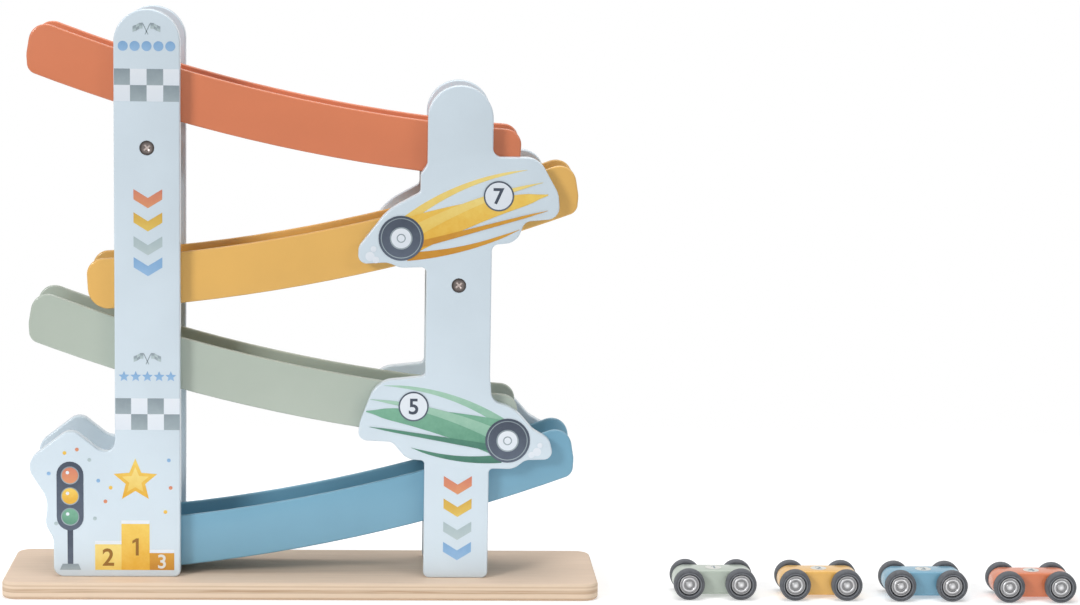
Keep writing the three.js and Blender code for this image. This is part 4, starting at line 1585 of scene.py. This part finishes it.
class RAMP_OT_stage(bpy.types.Operator):
    """Sets up the floor, the lights, the background and the camera"""

    bl_idname = "ramp.build_stage"
    bl_label = "Stage"

    def execute(self, context):
        g = context.scene.ramp_stage
        self.floor(g)
        self.background(context.scene, g)
        for name, place, size, setting in LAMPS:
            self.lamp(name, place, size, getattr(g, setting))
        self.camera(context.scene, g)
        context.scene.view_settings.view_transform = "Standard"
        return {"FINISHED"}

    def floor(self, g):
        """A pale floor that glows, more away from the object than beside it, takes the shadows and fades
        away round the object.
        """
        bm = bmesh.new()
        bmesh.ops.create_grid(
            bm, x_segments=1, y_segments=1, size=g.floor_size / 2,
            matrix=Matrix.Translation(FLOOR_PLACE),
        )
        graph = Finish("stage_floor")
        x, y, z = graph.axes()
        centre, half = (CAD_LOW + CAD_HIGH) / 2, (CAD_HIGH - CAD_LOW) / 2
        beside = ((x - centre.x).size() - half.x).span(0.0, 1.0)
        before = ((y - centre.y).size() - half.y).span(0.0, 1.0)
        away = (beside * beside + before * before).root()
        graph.surface(
            Base_Color=FLOOR_GREY, Roughness=0.9, Specular_IOR_Level=0.1, Emission_Strength=1.0,
            Emission_Color=graph.blend(away.span(0.0, g.floor_glow), NEAR_GLOW, FAR_GLOW),
        )
        clear = graph.node("ShaderNodeBsdfTransparent").outputs[0]
        fade = away.span(g.floor_fade, g.floor_clear)
        mix = graph.node("ShaderNodeMixShader", inputs={0: fade, 1: graph.shader.outputs[0], 2: clear})
        graph.feed(graph.tree.nodes["Material Output"].inputs["Surface"], mix.outputs[0])
        mesh = bpy.data.meshes.new("floor")
        bm.to_mesh(mesh)
        bm.free()
        mesh.materials.append(graph.material)
        made = bpy.data.objects.new("floor", mesh)
        bpy.context.scene.collection.objects.link(made)

    def background(self, scene, g):
        """White to the camera, in mirrors and through glass, and an even light on everything."""
        scene.world = bpy.data.worlds.new("studio")
        scene.world.use_nodes = True
        graph = Graph(scene.world.node_tree)
        rays = graph.node("ShaderNodeLightPath").outputs
        seen = graph.tree.nodes["Background"]
        graph.feed(seen.inputs["Color"], WHITE)
        graph.feed(seen.inputs["Strength"], 1.0)
        even = graph.node("ShaderNodeBackground", inputs={"Color": WHITE, "Strength": g.sky})
        shown = Value(graph, rays["Is Camera Ray"])
        for kind in ("Is Glossy Ray", "Is Transmission Ray"):
            shown = shown.most(rays[kind])
        inputs = {0: shown, 1: even.outputs[0], 2: seen.outputs[0]}
        mix = graph.node("ShaderNodeMixShader", inputs=inputs)
        graph.feed(graph.tree.nodes["World Output"].inputs["Surface"], mix.outputs[0])

    def lamp(self, name, place, size, power):
        """A square lamp that shines at the ramp."""
        lamp = bpy.data.lights.new(name, "AREA")
        lamp.size = size
        lamp.energy = power
        made = bpy.data.objects.new(name, lamp)
        made.location = place
        made.rotation_euler = (LAMP_AIM - made.location).to_track_quat("-Z", "Y").to_euler()
        bpy.context.scene.collection.objects.link(made)

    def camera(self, scene, g):
        """The camera of the photograph, turned to the right, then tilted down, then rolled."""
        across = math.cos(g.pitch)
        forward = Vector((math.sin(g.yaw) * across, math.cos(g.yaw) * across, -math.sin(g.pitch)))
        level = Vector((math.cos(g.yaw), -math.sin(g.yaw), 0))
        upright = level.cross(forward)
        right = math.cos(g.roll) * level + math.sin(g.roll) * upright
        up = math.cos(g.roll) * upright - math.sin(g.roll) * level
        data = bpy.data.cameras.new("camera")
        data.sensor_width = g.sensor
        data.lens = g.lens
        made = bpy.data.objects.new("camera", data)
        turn = Matrix((right, up, -forward)).transposed().to_4x4()
        made.matrix_world = Matrix.Translation(g.eye) @ turn
        scene.collection.objects.link(made)
        scene.camera = made


class RAMP_PT_panel(bpy.types.Panel):
    """Sizes of the ramp and buttons that build it"""

    bl_label = "Car ramp"
    bl_idname = "RAMP_PT_panel"
    bl_space_type = "VIEW_3D"
    bl_region_type = "UI"
    bl_category = "Ramp"

    def draw(self, context):
        for operator in OPERATORS:
            self.layout.operator(operator.bl_idname)
        for name, group in GROUPS:
            box = self.layout.box()
            for key in group.__annotations__:
                box.prop(getattr(context.scene, name), key)


OPERATORS = (
    RAMP_OT_base, RAMP_OT_towers, RAMP_OT_tracks, RAMP_OT_screws, RAMP_OT_cars, RAMP_OT_prints,
    RAMP_OT_stage,
)
GROUPS = (
    ("ramp_sizes", RampSizes), ("ramp_cars", CarSizes), ("ramp_prints", PrintSizes),
    ("ramp_colours", Colours), ("ramp_stage", StageSettings),
)


def register():
    for name, group in GROUPS:
        bpy.utils.register_class(group)
        setattr(bpy.types.Scene, name, PointerProperty(type=group))
    for item in OPERATORS + (RAMP_PT_panel,):
        bpy.utils.register_class(item)


def unregister():
    for item in (RAMP_PT_panel,) + OPERATORS[::-1]:
        bpy.utils.unregister_class(item)
    for name, group in GROUPS[::-1]:
        delattr(bpy.types.Scene, name)
        bpy.utils.unregister_class(group)


def main():
    register()
    bpy.ops.ramp.build_base()
    bpy.ops.ramp.build_towers()
    bpy.ops.ramp.build_tracks()
    bpy.ops.ramp.build_screws()
    bpy.ops.ramp.build_cars()
    bpy.ops.ramp.build_prints()
    bpy.ops.ramp.build_stage()


if __name__ == "__main__":
    main()
